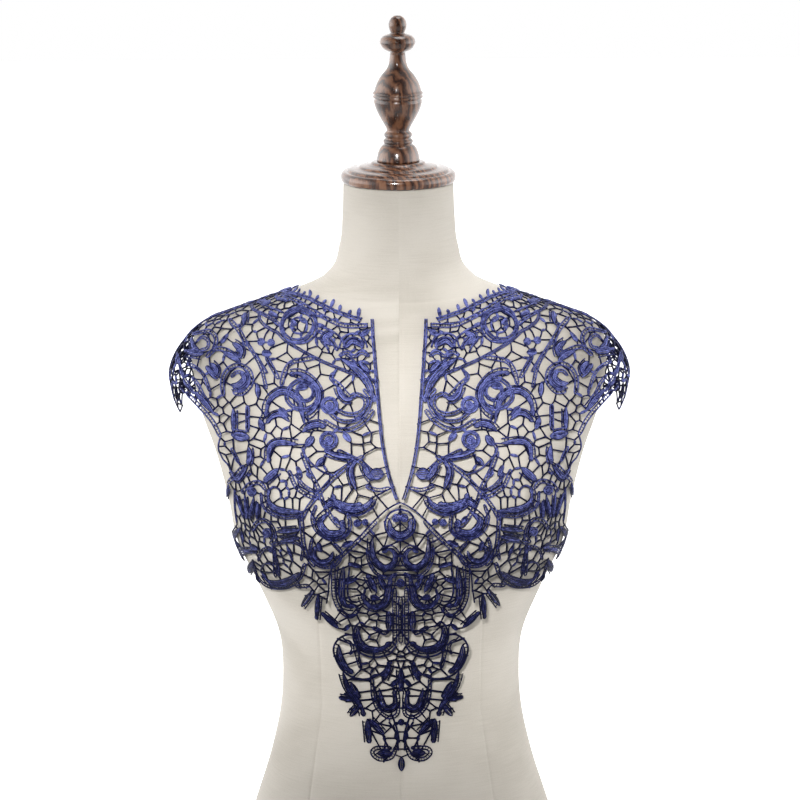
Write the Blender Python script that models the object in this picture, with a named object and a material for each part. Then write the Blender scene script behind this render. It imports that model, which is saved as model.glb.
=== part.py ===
"""A guipure lace collar, front and back, on a limbless dress form with a turned wooden neck cap.

Every length is in metres, +Z is up, the front faces -Y and the form stands on its flat base at Z = 0.
The lace is drafted on squared paper: one square is DRAFT_SQUARE, columns are counted out from the centre front
line and rows down the sheet, as the collar is seen from the front and a little above.
"""

import math

import bmesh
import bpy
import numpy as np
from mathutils import Vector
from mathutils.geometry import delaunay_2d_cdt

# ---------------------------------------------------------------- sizes of the form

BUST_APEX = 0.072  # from the centre line to each bust point
BUST_HEIGHT = 0.388
BUST_FULLNESS = 0.024
BUST_SPREAD = 0.042
BUST_RISE = 0.046
NECK_TOP = 0.688

# Sections of the form, each a rounded oval: height, half width, centre, front depth, back depth (mm), roundness.
FORM_SECTIONS = (
    # height  half   centre  front  back   round
    (0.0, 162.0, 0.0, 108.0, 112.0, 2.2),
    (45.0, 152.0, 0.0, 106.0, 108.0, 2.2),
    (87.0, 139.0, 0.0, 100.0, 98.0, 2.2),
    (136.0, 124.0, 0.0, 90.0, 83.0, 2.2),
    (185.0, 114.0, 0.0, 82.0, 71.0, 2.2),
    (215.0, 112.0, 0.0, 79.0, 68.0, 2.2),
    (257.0, 115.0, 0.0, 80.0, 71.0, 2.2),
    (304.0, 133.0, 0.0, 89.0, 81.0, 2.2),
    (352.0, 154.0, 0.0, 100.0, 92.0, 2.25),
    (387.0, 160.0, 0.0, 104.0, 98.0, 2.3),
    (433.0, 171.0, 0.0, 98.0, 101.0, 2.3),
    (480.0, 186.0, 0.0, 84.0, 96.0, 2.3),
    (510.0, 191.0, 0.0, 75.0, 90.0, 2.2),
    (536.0, 191.0, 0.0, 68.0, 83.0, 2.1),
    (548.0, 186.0, 0.0, 65.5, 79.5, 2.05),
    (556.0, 176.0, 0.0, 64.0, 77.0, 2.0),
    (563.0, 158.0, 0.0, 62.5, 74.5, 2.0),
    (570.0, 137.0, 0.0, 61.0, 72.0, 2.0),
    (578.0, 114.0, -1.0, 58.5, 69.5, 2.0),
    (585.0, 95.0, -2.0, 56.0, 68.0, 2.0),
    (593.0, 77.0, -3.5, 54.0, 65.0, 2.0),
    (604.0, 64.0, -6.0, 52.0, 60.0, 2.0),
    (630.0, 54.0, -10.0, 50.0, 53.0, 2.0),
    (660.0, 51.0, -13.0, 50.0, 50.0, 2.0),
    (688.0, 50.0, -14.0, 50.0, 50.0, 2.0),
)

# ---------------------------------------------------------------- sizes of the drape

LACE_LIFT = 0.0017  # from the form to the middle of the lace
LACE_WALL = 0.0016
SEAM_GAP = 0.0003
BUST_BRIDGE = 0.75  # how nearly flat the lace spans between the bust points
HANG_HEIGHT = 0.392  # below this the lace hangs free of the form
HANG_TAPER = 0.28  # how fast the free lace comes in again, per metre of drop
CHEST_SLOPE = 0.36  # the taut line from the bust up to the collar bone
HANG_SOFTNESS = 0.004
WING_TOP = 0.558
WING_FLARE = 0.021  # how far the shoulder wings stand out past the form
WING_BOTTOM = 0.425

# ---------------------------------------------------------------- the draft

DRAFT_SQUARE = 0.00093
DRAFT_MIDDLE = 400.0  # the row of the draft at SIGHT_HEIGHT
SIGHT_HEIGHT = 0.4796
SIGHT_DISTANCE = 2.8
SIGHT_FALL = math.radians(14.0)

# The worked scrolls, cords and leaves of one half of the front: (half width, ((squares out, row), ...)).
# No gap of the net is cut through these.
MOTIFS = (
    # neck edge, neck band and slit
    (2.4, ((32, 325), (56, 325), (80, 314), (101, 301), (118, 293))),
    (3.0, ((54, 347), (46, 341), (36, 347))),
    (4.0, ((66, 345), (74, 338), (66, 332))),
    (2.5, ((85, 325), (90, 314), (103, 310), (115, 318), (117, 330), (108, 339), (94, 338), (85, 325))),
    (3.5, ((103, 325), (108, 320))),
    (1.5, ((118, 325), (113, 312), (100, 307), (87, 312), (82, 325), (87, 338), (100, 343), (113, 338), (118, 325))),
    (1.5, ((108, 325), (106, 319), (100, 317), (94, 319), (92, 325), (94, 331), (100, 333), (106, 331), (108, 325))),
    (1.5, ((56, 347), (53, 340), (46, 337), (39, 340), (36, 347))),
    (1.5, ((60, 347), (56, 337), (46, 333), (36, 337), (32, 347))),
    (2.0, ((82, 330), (74, 334), (66, 342), (62, 350))),
    (1.5, ((84, 336), (75, 342), (70, 352))),
    (1.5, ((80, 326), (68, 330), (58, 338), (55, 345))),
    (2.0, ((60, 355), (52, 352), (45, 356), (38, 352), (30, 356))),
    (3.0, ((40, 362), (30, 372))),
    (3.0, ((52, 362), (42, 366))),
    (3.5, ((38, 335), (30, 330))),
    (2.0, ((118, 325), (128, 318), (140, 311))),
    (1.5, ((116, 312), (128, 307), (142, 301))),
    (3.0, ((122, 316), (130, 311))),
    (3.0, ((112, 300), (122, 298))),
    (3.0, ((130, 303), (138, 300))),
    (4.5, ((58, 358), (42, 370), (31, 384), (25, 402))),
    (2.5, ((65, 372), (68, 378), (60, 385), (50, 396), (44, 393))),
    # upper front
    (9.0, ((70, 405), (70, 405.5))),
    (2.6, ((76, 420), (60, 429), (46, 428), (34, 420), (26, 410))),
    (2.2, ((62, 409), (55, 413), (46, 414), (38, 411), (34, 404), (36, 397), (44, 393))),
    (2.2, ((70, 413), (60, 420), (48, 421), (38, 416), (31, 407), (30, 397), (36, 389))),
    (3.0, ((62, 385), (59, 393), (53, 399), (47, 398))),
    (9.5, ((71, 440), (71, 440.5))),
    (2.4, ((62, 450), (50, 456), (40, 461), (30, 470))),
    (7.0, ((30, 474), (16, 474))),
    (2.2, ((34, 486), (22, 490), (10, 488))),
    (3.0, ((44, 460), (49, 472), (44, 490))),
    (2.6, ((61, 508), (46, 514), (32, 509), (25, 501))),
    (3.5, ((66, 500), (52, 506), (38, 504))),
    (2.4, ((98, 452), (91, 470), (82, 487), (77, 502), (68, 518), (60, 527))),
    (2.4, ((36, 456), (49, 463), (66, 477), (80, 492), (92, 507), (99, 520))),
    (2.4, ((111, 470), (104, 486), (92, 495), (82, 498))),
    (4.5, ((86, 436), (94, 446))),
    (3.0, ((76, 457), (84, 466))),
    (4.0, ((56, 433), (49, 441))),
    (2.5, ((112, 392), (106, 383), (96, 379), (84, 386), (82, 398), (90, 408), (103, 408), (112, 400), (112, 392))),
    (3.0, ((102, 388), (92, 387))),
    (2.6, ((118, 385), (115, 372), (108, 362), (96, 359), (84, 357))),
    (3.5, ((110, 374), (101, 373), (92, 377), (85, 384), (81, 392), (82, 402), (88, 411), (95, 416))),
    (2.0, ((101, 386), (95, 383), (88, 386), (86, 393), (90, 399), (97, 400), (102, 394), (101, 386))),
    (3.8, ((133, 416), (132, 405), (127, 396), (118, 391), (109, 393), (101, 400), (98, 410), (95, 424))),
    (3.0, ((133, 422), (126, 415), (118, 414), (110, 421))),
    (3.0, ((75, 450), (66, 454), (56, 456), (45, 458))),
    (3.5, ((97, 432), (92, 427), (82, 424), (75, 427))),
    (1.5, ((97, 452), (88, 463), (78, 471), (67, 475))),
    (3.5, ((37, 462), (33, 472), (27, 480))),
    (3.5, ((68, 494), (63, 504), (52, 509), (40, 509), (31, 503), (27, 496))),
    (2.0, ((104, 474), (98, 483), (90, 489), (81, 492))),
    (3.0, ((103, 466), (98, 476))),
    (3.0, ((93, 472), (88, 478))),
    (4.5, ((120, 408), (112, 416))),
    (5.5, ((168, 434), (150, 437))),
    (3.5, ((151, 446), (150, 455), (152, 464))),
    (3.5, ((140, 418), (136, 430))),
    (3.5, ((131, 462), (130, 448), (121, 442), (101, 444))),
    (4.5, ((136, 481), (121, 468))),
    (3.5, ((131, 488), (131, 500), (121, 509), (96, 512))),
    (2.0, ((139, 492), (137, 505), (128, 513), (116, 517), (101, 516))),
    (2.6, ((99, 512), (97, 540), (93, 556), (86, 566))),
    (3.0, ((123, 531), (101, 529))),
    (3.0, ((120, 541), (101, 537))),
    (2.6, ((158, 492), (151, 484), (141, 482), (134, 489))),
    (3.0, ((163, 494), (156, 518))),
    (3.0, ((155, 494), (153, 518))),
    (3.0, ((146, 497), (150, 518))),
    (2.5, ((168, 447), (161, 462))),
    (2.5, ((172, 482), (156, 465))),
    (2.5, ((152, 405), (152, 430))),
    (3.0, ((166, 408), (166, 430))),
    # side, shoulder and wing
    (5.0, ((212, 350), (196, 353))),
    (2.5, ((206, 333), (190, 330), (183, 338), (186, 350))),
    (2.6, ((193, 356), (183, 348), (171, 350), (161, 359))),
    (2.5, ((176, 395), (177, 380), (172, 369), (161, 364), (150, 370), (148, 382), (156, 392), (166, 392))),
    (3.5, ((158, 371), (155, 378), (161, 384), (169, 384))),
    (2.6, ((213, 391), (201, 404), (188, 419), (179, 436))),
    (3.0, ((193, 365), (183, 378))),
    (2.0, ((153, 340), (139, 365), (133, 388))),
    (2.5, ((133, 356), (121, 378))),
    (2.6, ((170, 318), (160, 330), (152, 345))),
    (2.0, ((222, 352), (217, 372), (206, 392))),
    (3.5, ((167, 342), (162, 345), (158, 350), (160, 357))),
    (3.0, ((178, 342), (171, 333))),
    (3.0, ((154, 312), (155, 324))),
    (4.0, ((138, 341), (138, 341.5))),
    (4.0, ((128, 342), (128, 342.5))),
    (4.5, ((137, 352), (128, 353))),
    (1.5, ((142, 355), (132, 372))),
    (3.0, ((142, 383), (141, 397))),
    (3.5, ((189, 362), (183, 369), (186, 376))),
    (3.0, ((208, 337), (205, 346), (199, 350))),
    (2.0, ((202, 340), (197, 336), (191, 340), (192, 347), (199, 349))),
    (3.5, ((176, 351), (166, 356), (159, 362))),
    (2.0, ((212, 362), (204, 366), (197, 372), (193, 380), (190, 390))),
    (2.0, ((207, 376), (201, 384), (196, 394), (190, 402))),
    (3.5, ((204, 391), (195, 401), (186, 412))),
    (2.0, ((168, 376), (162, 371), (154, 374), (152, 382), (158, 388), (166, 387))),
    # hem
    (2.6, ((147, 562), (143, 575), (135, 584), (123, 587), (110, 585), (100, 576), (95, 563))),
    (5.0, ((138, 572), (131, 581), (120, 583), (109, 579), (101, 572))),
    (1.5, ((140, 570), (135, 563), (128, 564), (124, 572))),
    (2.0, ((142, 560), (139, 551), (132, 547), (126, 551), (123, 562), (121, 575))),
    (2.5, ((148, 530), (143, 522), (134, 520), (127, 527), (125, 537), (130, 543))),
    (5.0, ((133, 532), (133, 532.5))),
    (3.0, ((171, 484), (173, 496))),
    (2.0, ((165, 488), (165, 505), (163, 522))),
    (4.0, ((160, 527), (166, 535), (171, 543))),
    (3.5, ((164, 541), (165, 558))),
    (4.0, ((166, 556), (156, 551), (146, 551))),
    (4.0, ((147, 560), (152, 571))),
    (3.5, ((158, 530), (157, 542))),
    (4.0, ((150, 545), (142, 548))),
    (3.0, ((142, 502), (143, 518))),
    (5.0, ((148, 491), (148, 491.5))),
    (1.5, ((131, 490), (126, 486), (120, 490), (119, 498))),
    (3.0, ((170, 468), (163, 478), (157, 472), (152, 465))),
    (2.0, ((84, 505), (88, 518), (83, 531), (70, 539), (57, 537), (50, 527), (52, 513))),
    (3.5, ((76, 508), (68, 503), (59, 506))),
    (3.0, ((67, 517), (61, 523))),
    (2.0, ((88, 538), (90, 550), (86, 562), (75, 567), (63, 563), (59, 552), (66, 543))),
    (3.0, ((82, 542), (79, 551))),
    (2.6, ((126, 545), (125, 576))),
    (3.0, ((113, 545), (108, 557))),
    (2.0, ((99, 560), (98, 547), (110, 541), (128, 544))),
    (2.5, ((165, 540), (156, 549), (143, 551))),
    (3.0, ((84, 546), (86, 554), (80, 561), (71, 559), (67, 551))),
    (4.5, ((71, 512), (80, 522), (72, 533), (58, 531), (58, 520))),
    (3.0, ((99, 606), (87, 590))),
    (2.5, ((104, 586), (91, 585))),
    (3.0, ((82, 594), (84, 619))),
    # lower point
    (2.6, ((24, 521), (40, 538), (55, 552), (66, 563), (67, 580), (66, 597), (60, 610), (50, 616), (41, 608))),
    (4.0, ((57, 566), (59, 590), (56, 604), (46, 606))),
    (3.5, ((79, 612), (62, 628))),
    (3.0, ((52, 563), (38, 567))),
    (3.5, ((58, 546), (48, 541))),
    (4.0, ((43, 523), (43, 523.5))),
    (3.5, ((35, 522), (35, 522.5))),
    (1.5, ((51, 568), (53, 590), (50, 600), (44, 602))),
    (3.0, ((22, 575), (15, 590))),
    (4.0, ((30, 596), (21, 599))),
    (3.0, ((57, 630), (50, 624))),
    (3.0, ((57, 583), (43, 578))),
    (3.4, ((28, 536), (28, 550), (25, 560), (16, 567), (7, 563), (5, 555), (10, 549), (18, 552))),
    (2.0, ((33, 548), (31, 562), (24, 573), (12, 578), (4, 573))),
    (4.0, ((9, 574), (12, 590), (16, 602), (25, 607), (34, 603), (38, 594))),
    (3.5, ((33, 574), (24, 592))),
    (2.6, ((6, 588), (6, 645))),
    (3.5, ((12, 611), (12, 632))),
    (2.5, ((28, 627), (14, 634))),
    (4.2, ((43, 626), (42, 640), (34, 648), (20, 649), (10, 642))),
    (1.5, ((47, 640), (41, 652), (27, 657), (12, 654), (5, 646))),
    (1.5, ((47, 640), (46, 628), (40, 622), (34, 627))),
    (1.6, ((45, 635), (56, 635), (65, 642), (67, 652), (61, 665), (52, 675), (36, 679), (21, 674), (9, 662))),
    (4.2, ((62, 645), (61, 656), (56, 666), (48, 673))),
    (2.0, ((55, 640), (50, 643), (48, 649), (51, 654))),
    (2.5, ((45, 650), (40, 668))),
    (3.4, ((58, 672), (54, 685), (47, 696), (40, 707), (37, 716))),
    (3.0, ((50, 682), (46, 690), (41, 697))),
    (3.0, ((62, 697), (45, 700))),
    (3.2, ((51, 716), (42, 705))),
    (2.2, ((29, 678), (28, 696), (23, 709), (13, 717), (4, 714), (3, 702))),
    (3.2, ((22, 688), (18, 704), (12, 708), (6, 703), (7, 690))),
    (3.6, ((34, 719), (32, 743))),
    (3.6, ((32, 719), (18, 734))),
    (1.5, ((18, 738), (14, 745), (12, 750))),
    (1.5, ((8, 718), (4, 730), (2, 742))),
    (1.6, ((12, 722), (5, 734), (3, 750))),
    (2.4, ((5, 746), (10, 757), (22, 759), (29, 753), (25, 748), (10, 748))),
    (4.0, ((24, 753), (10, 753))),
    (3.6, ((11, 663), (18, 680))),
    (3.0, ((10, 686), (3, 679))),
)
# The same on the centre front line.
CENTRE_MOTIFS = (
    (1.5, ((0, 509), (10, 513), (15, 523), (11, 534), (0, 540), (-11, 534), (-15, 523), (-10, 513), (0, 509))),
    (4.0, ((-11, 519), (-9, 530), (0, 535), (9, 530), (11, 519))),
    (4.5, ((-4, 518), (-4, 518.5))),
    (4.5, ((4, 518), (4, 518.5))),
    (4.5, ((0, 583), (0, 583.5))),
    (3.5, ((0, 722), (0, 722.5))),
    (3.5, ((0, 668), (0, 676), (0, 690))),
    (3.5, ((0, 757), (0, 771))),
    (2.6, ((0, 597), (0, 643))),
)


def rows_at(sections, height):
    """Every column of a section table at a height, or an array of heights, on a smooth curve through its rows."""
    table = np.array(sections)
    z = np.asarray(height, float) * 1000
    levels = table[:, 0]
    slopes = np.gradient(table[:, 1:], levels, axis=0)
    i = np.clip(np.searchsorted(levels, z) - 1, 0, len(levels) - 2)
    step = levels[i + 1] - levels[i]
    f = np.clip((z - levels[i]) / step, 0, 1)[..., None]
    step = step[..., None]
    a, b = table[i, 1:], table[i + 1, 1:]
    return (
        a * (2 * f**3 - 3 * f**2 + 1)
        + b * (3 * f**2 - 2 * f**3)
        + slopes[i] * step * (f**3 - 2 * f**2 + f)
        + slopes[i + 1] * step * (f**3 - f**2)
    )


def form_point(turn, height, bridge=0.0):
    """A point of the form at a turn about its axis (0 in front, a quarter turn at +X) and a height.
    bridge from 0 to 1 fills the hollow between the bust points."""
    turn, height = np.broadcast_arrays(np.asarray(turn, float), np.asarray(height, float))
    half, centre, front, back, power = np.moveaxis(rows_at(FORM_SECTIONS, height), -1, 0)
    depth = np.where(np.cos(turn) > 0, front, back)
    sine, cosine = np.sin(turn), np.cos(turn)
    size = (np.abs(sine) ** power + np.abs(cosine) ** power) ** (-1 / power)
    x = half * sine * size
    y = centre - depth * cosine * size
    rise = np.exp(-(((height - BUST_HEIGHT) / BUST_RISE) ** 2))
    off = np.abs(x) / 1000 - BUST_APEX
    cups = np.exp(-((off / BUST_SPREAD) ** 2)) + np.exp(-(((off + 2 * BUST_APEX) / BUST_SPREAD) ** 2))
    plateau = np.exp(-((np.maximum(off, 0) / BUST_SPREAD) ** 2))
    front_share = np.clip(cosine * 1.6, 0, 1) ** 1.5
    y = y - 1000 * BUST_FULLNESS * rise * front_share * (cups + bridge * (plateau - cups).clip(0))
    return np.stack([x / 1000, y / 1000, height], axis=-1)


def normal_of(surface, turn, height, step=2e-3):
    """The outward normal of a surface(turn, height)."""
    across = surface(turn + step, height) - surface(turn - step, height)
    up = surface(turn, height + step) - surface(turn, height - step)
    normal = np.cross(across, up)
    return normal / np.maximum(np.linalg.norm(normal, axis=-1, keepdims=True), 1e-12)


def smooth(value):
    value = np.clip(value, 0, 1)
    return value * value * (3 - 2 * value)


def cover_point(turn, height):
    """The form as the lace feels it, with the hollow between the bust points nearly filled."""
    return form_point(turn, height, BUST_BRIDGE)


def lace_point(turn, height, lift=0.0):
    """A point in the middle of the lace, or lifted off it, where it lies on the form and where it hangs."""
    turn, height = np.broadcast_arrays(np.asarray(turn, float), np.asarray(height, float))
    point = cover_point(turn, height) + (LACE_LIFT + lift) * normal_of(cover_point, turn, height)
    bust = cover_point(turn, np.full_like(height, HANG_HEIGHT))
    reach = np.hypot(bust[..., 0], bust[..., 1]) + LACE_LIFT + lift
    below = np.maximum(HANG_HEIGHT - height, 0)
    above = np.maximum(height - HANG_HEIGHT, 0)
    reach = reach - HANG_TAPER * below - CHEST_SLOPE * above
    radius = np.hypot(point[..., 0], point[..., 1])
    short = reach - radius
    front_share = smooth(0.5 + 1.6 * np.cos(turn))
    out = front_share * (short + np.sqrt(short**2 + HANG_SOFTNESS**2)) / 2
    side = np.exp(-(((np.abs(np.sin(turn)) - 1) / 0.16) ** 2))
    wing = smooth((WING_TOP - height) / 0.055) * smooth((height - WING_BOTTOM) / 0.04)
    out = out + WING_FLARE * side * wing
    scale = 1 + out / np.maximum(radius, 1e-6)
    return np.stack([point[..., 0] * scale, point[..., 1] * scale, point[..., 2]], axis=-1)


def seen_at(point):
    """Where a point shows on the draft: (squares out from the centre line, row)."""
    x, y, z = point[..., 0], point[..., 1], point[..., 2] - SIGHT_HEIGHT
    away = SIGHT_DISTANCE + y * math.cos(SIGHT_FALL) - z * math.sin(SIGHT_FALL)
    scale = SIGHT_DISTANCE / DRAFT_SQUARE / away
    up = y * math.sin(SIGHT_FALL) + z * math.cos(SIGHT_FALL)
    return np.stack([x * scale, DRAFT_MIDDLE - up * scale], axis=-1)


def from_draft(squares):
    """(turn, height) of the front of the lace that shows at each (squares out, row) of the draft."""
    squares = np.asarray(squares, float).reshape(-1, 2)
    turn = np.clip(squares[:, 0] / 200, -1.4, 1.4)
    height = SIGHT_HEIGHT - (squares[:, 1] - DRAFT_MIDDLE) * DRAFT_SQUARE
    step = 1e-3
    for _ in range(25):
        here = seen_at(lace_point(turn, height))
        by_turn = (seen_at(lace_point(turn + step, height)) - here) / step
        by_height = (seen_at(lace_point(turn, height + step)) - here) / step
        miss = squares - here
        det = by_turn[:, 0] * by_height[:, 1] - by_height[:, 0] * by_turn[:, 1]
        det = np.where(np.abs(det) < 2e4, np.where(det < 0, -2e4, 2e4), det)
        dt = (miss[:, 0] * by_height[:, 1] - by_height[:, 0] * miss[:, 1]) / det
        dh = (by_turn[:, 0] * miss[:, 1] - by_turn[:, 1] * miss[:, 0]) / det
        turn = np.clip(turn + np.clip(dt, -0.15, 0.15), -1.5, 1.5)
        height = height + np.clip(dh, -0.02, 0.02)
    return np.stack([turn, height], axis=-1)


# ---------------------------------------------------------------- outlines of the lace, by (turn, height)

SLIT_EDGE_OF_BAND = ((25, 319), (24, 340), (22.5, 360))
SLIT_BAND_CORNER = (21, 381)
SLIT_EDGE_OF_FRONT = ((19.5, 400), (17.5, 425), (14.5, 450), (10, 472), (5, 489), (1.5, 499))
NECK_EDGE = ((38, 317), (56, 311), (74, 303), (88, 296), (99, 292), (108, 291))
BAND_SEAM = (SLIT_BAND_CORNER, (31, 379), (45, 374), (63, 367), (81, 359), (101, 348), (121, 332), (139, 312), (147, 304))
POINT_SEAM = (
    (0, 503.5), (0.6, 503.8), (6, 506), (14, 511), (24, 520), (40, 537), (55, 551), (66, 561), (70, 575), (71, 590),
    (73, 603),
)
SIDE_EDGE = (
    (219, 388), (212, 396), (201, 407), (189, 421), (180, 436), (182, 449), (177, 459), (172, 464), (169, 478),
    (172, 494), (167, 497), (165, 524), (170, 543), (166, 556), (153, 555), (149, 560), (153, 572), (146, 570),
    (144, 579), (138, 585), (126, 590), (112, 589), (105, 584), (104, 590), (95, 591), (101, 606), (96, 610),
    (89, 597), (87, 620), (81, 621), (79, 611),
)
POINT_EDGE = (
    (72, 619), (64, 630), (57, 633), (66, 639), (70, 652), (64, 665), (61, 676), (55, 691), (64, 693), (64, 700),
    (50, 703), (54, 714), (49, 720), (42, 715), (38, 722), (37, 743), (32, 747), (31, 756), (25, 762), (14, 764),
    (6, 760), (4, 769), (0, 773),
)
SHOULDER = math.radians(90)
NECK_AT_BACK = 0.576
BAND_AT_BACK = 0.555
# The hem of the back, by degrees of turn.
BACK_HEM = (
    (90, 0.481), (95, 0.466), (101, 0.468), (106, 0.481), (113, 0.470), (120, 0.474), (127, 0.484), (134, 0.473),
    (141, 0.472), (148, 0.481), (155, 0.470), (162, 0.469), (168, 0.477), (174, 0.468), (180, 0.465),
)

# The widest gaps of the front, each left whole: (squares out, row, squares kept clear around its middle).
WIDE_GAPS = (
    (21, 528, 11), (24, 543, 7), (111, 523, 11), (74, 381, 9), (87, 371, 8), (66, 462, 10), (117, 451, 10),
    (103, 559, 10), (116, 567, 9), (132, 556, 8), (31, 513, 7), (37, 617, 8), (26, 617, 7), (50, 659, 8),
    (36, 686, 8), (6, 547, 6), (137, 403, 7), (148, 398, 8), (119, 378, 8), (118, 350, 8), (161, 445, 8),
    (143, 451, 8), (152, 470, 7), (177, 418, 7), (188, 383, 8), (205, 372, 8), (167, 336, 8), (27, 455, 8),
    (41, 440, 7), (85, 415, 6), (100, 424, 7), (39, 500, 6), (57, 477, 8),
)
GAP_SPACING = 0.0064
LOW_SPACING = 0.005  # the net closes up below the bust
LOW_NET_TOP = 0.36
NET_BLEND = 0.07  # the height over which one spacing passes into the other
NET_FOOT = (0.0, 0.145)  # the darts for the net fall from this turn and height
NET_SPAN = (math.pi, 0.46)
GAP_SEED = 7
GAP_TRIES = 32000
AXIS_TRIES = 600
NET_BAR = 0.0015
EDGE_MARGIN = 0.0016
RIM_ROOM = 0.0018  # from a cell's middle to the margin of an edge
MOTIF_ROOM = 0.2  # from a cell's middle to a motif, as a share of the spacing
MOTIF_MARGIN = 0.0006
LEAST_GAP = 0.0042
FRONT_GAPS_A_HALF = 112
BACK_GAPS_A_HALF = 38
GAP_CORNERS = 7
WIDEST_GAP = 0.011
INNER_TRIES = 6000
INNER_SPACING = 0.0156
EDGE_STEP = 0.016
MOST_CHORD = 0.0008
REFINEMENTS = 4
LEAST_AREA = 2e-8  # radian metres: thinner triangles lie along a straight edge


def evened(points, most):
    """A polyline of (turn, height) with more points where two of its own are over most metres apart."""
    points = np.asarray(points, float)
    place = lace_point(points[:, 0], points[:, 1])
    found = [points[0]]
    for a, b, length in zip(points, points[1:], np.linalg.norm(np.diff(place, axis=0), axis=1)):
        steps = max(1, math.ceil(length / most))
        found += [a + (b - a) * i / steps for i in range(1, steps + 1)]
    return np.array(found)


def moved(points, away):
    """Each (turn, height) moved by away, one pair of metres or a pair for each: to the right along the lace as it is
    looked at from outside, and up it."""
    points = np.asarray(points, float)
    step = 1e-4
    here = lace_point(points[:, 0], points[:, 1])
    by_turn = (lace_point(points[:, 0] + step, points[:, 1]) - here) / step
    by_height = (lace_point(points[:, 0], points[:, 1] + step) - here) / step
    right = by_turn / np.linalg.norm(by_turn, axis=1, keepdims=True)
    up = by_height - (by_height * right).sum(1, keepdims=True) * right
    rise = np.linalg.norm(up, axis=1)
    up /= rise[:, None]
    away = np.broadcast_to(away, points.shape)
    dh = away[:, 1] / rise
    dt = (away[:, 0] - dh * (by_height * right).sum(1)) / np.linalg.norm(by_turn, axis=1)
    return points + np.stack([dt, dh], axis=1)


def beside(points, distance):
    """The polyline shifted sideways on the lace: to its left, as it runs, for a positive distance."""
    points = np.asarray(points, float)
    ahead = np.gradient(lace_point(points[:, 0], points[:, 1]), axis=0)
    normal = normal_of(lace_point, points[:, 0], points[:, 1])
    left = np.cross(normal, ahead)
    left /= np.linalg.norm(left, axis=1, keepdims=True)
    step = 1e-4
    here = lace_point(points[:, 0], points[:, 1])
    by_turn = (lace_point(points[:, 0] + step, points[:, 1]) - here) / step
    right = by_turn / np.linalg.norm(by_turn, axis=1, keepdims=True)
    up = np.cross(normal, right)
    return moved(points, distance * np.stack([(left * right).sum(1), (left * up).sum(1)], axis=1))


def mirrored(points):
    """The same line on the other half, run the other way."""
    return np.asarray(points, float)[::-1] * (-1, 1)


def inside(points, outline):
    """Which points lie inside the closed outline."""
    x, y = points[:, 0, None], points[:, 1, None]
    a, b = outline, np.roll(outline, -1, axis=0)
    crosses = (a[:, 1] > y) != (b[:, 1] > y)
    rise = np.where(b[:, 1] == a[:, 1], 1, b[:, 1] - a[:, 1])
    at = a[:, 0] + (y - a[:, 1]) / rise * (b[:, 0] - a[:, 0])
    return (crosses & (x < at)).sum(1) % 2 == 1


def sampled(points, spacing):
    """Places in space along a polyline of (turn, height)."""
    if len(points) == 1:
        return lace_point(points[:, 0], points[:, 1])
    line = evened(points, spacing)
    return lace_point(line[:, 0], line[:, 1])


# ---------------------------------------------------------------- cutting out the lace


def lace_lines():
    """The shared seams and the edges of the right half, each a polyline of (turn, height)."""
    band = from_draft(BAND_SEAM)
    band_side = band[-1, 1] - 0.0015
    behind = np.radians((90, 105, 120, 140, 160, 180))
    heights = band_side + (BAND_AT_BACK - band_side) * smooth((behind - SHOULDER) / math.radians(80))
    band = evened(np.vstack([band, np.stack([behind, heights], axis=1)]), EDGE_STEP)
    neck = from_draft(NECK_EDGE)
    behind = np.radians((95, 115, 135, 157, 180))
    heights = neck[-1, 1] + (NECK_AT_BACK - neck[-1, 1]) * smooth((behind - neck[-1, 0]) / 0.7)
    neck = evened(np.vstack([neck, np.stack([behind, heights], axis=1)]), EDGE_STEP)
    at_shoulder = int(np.argmin(np.abs(band[:, 0] - SHOULDER)))
    hem = np.array(BACK_HEM) * (math.pi / 180, 1)
    shoulder = evened([band[at_shoulder], hem[0]], EDGE_STEP)
    return {
        "slit_of_band": from_draft(SLIT_EDGE_OF_BAND),
        "slit_of_front": from_draft(SLIT_EDGE_OF_FRONT),
        "neck": neck,
        "band": band,
        "at_shoulder": at_shoulder,
        "shoulder": shoulder,
        "back_hem": evened(hem, EDGE_STEP),
        "side": evened(from_draft(SIDE_EDGE), EDGE_STEP),
        "point_seam": evened(from_draft(POINT_SEAM), EDGE_STEP),
        "point_edge": from_draft(POINT_EDGE),
    }


def other_half(points):
    """The same line on the left half, run the other way, its turns counted on past the back."""
    return np.asarray(points, float)[::-1] * (-1, 1) + (2 * math.pi, 0)


def lace_outlines(lines):
    """The outline of each piece of lace, half a seam gap inside every seam."""
    half = SEAM_GAP / 2
    n = lines["at_shoulder"]
    band = lines["band"]
    below_band = beside(band, -half)
    right_band = np.vstack([lines["slit_of_band"], beside(band, half)])
    neck = np.vstack([other_half(lines["neck"])[::-1], lines["neck"][::-1][1:]])
    neck_band = np.vstack([right_band, other_half(right_band)[1:], neck])
    seam = beside(lines["point_seam"], half)[1:]
    front = np.vstack(
        [
            lines["slit_of_front"],
            seam,
            lines["side"][::-1],
            beside(lines["shoulder"], -half)[::-1],
            below_band[:n][::-1],
        ]
    )
    right_point = np.vstack([beside(lines["point_seam"], -half), lines["point_edge"]])
    point = np.vstack([right_point, mirrored(right_point)[1:-1]])
    right_back = np.vstack([below_band[n + 1 :][::-1], beside(lines["shoulder"], half), lines["back_hem"][1:]])
    back = np.vstack([right_back, other_half(right_back)[1:-1]])
    return {
        "neck_band": neck_band,
        "front_right": front,
        "front_left": mirrored(front),
        "centre_point": point,
        "back_yoke": back,
    }


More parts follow.
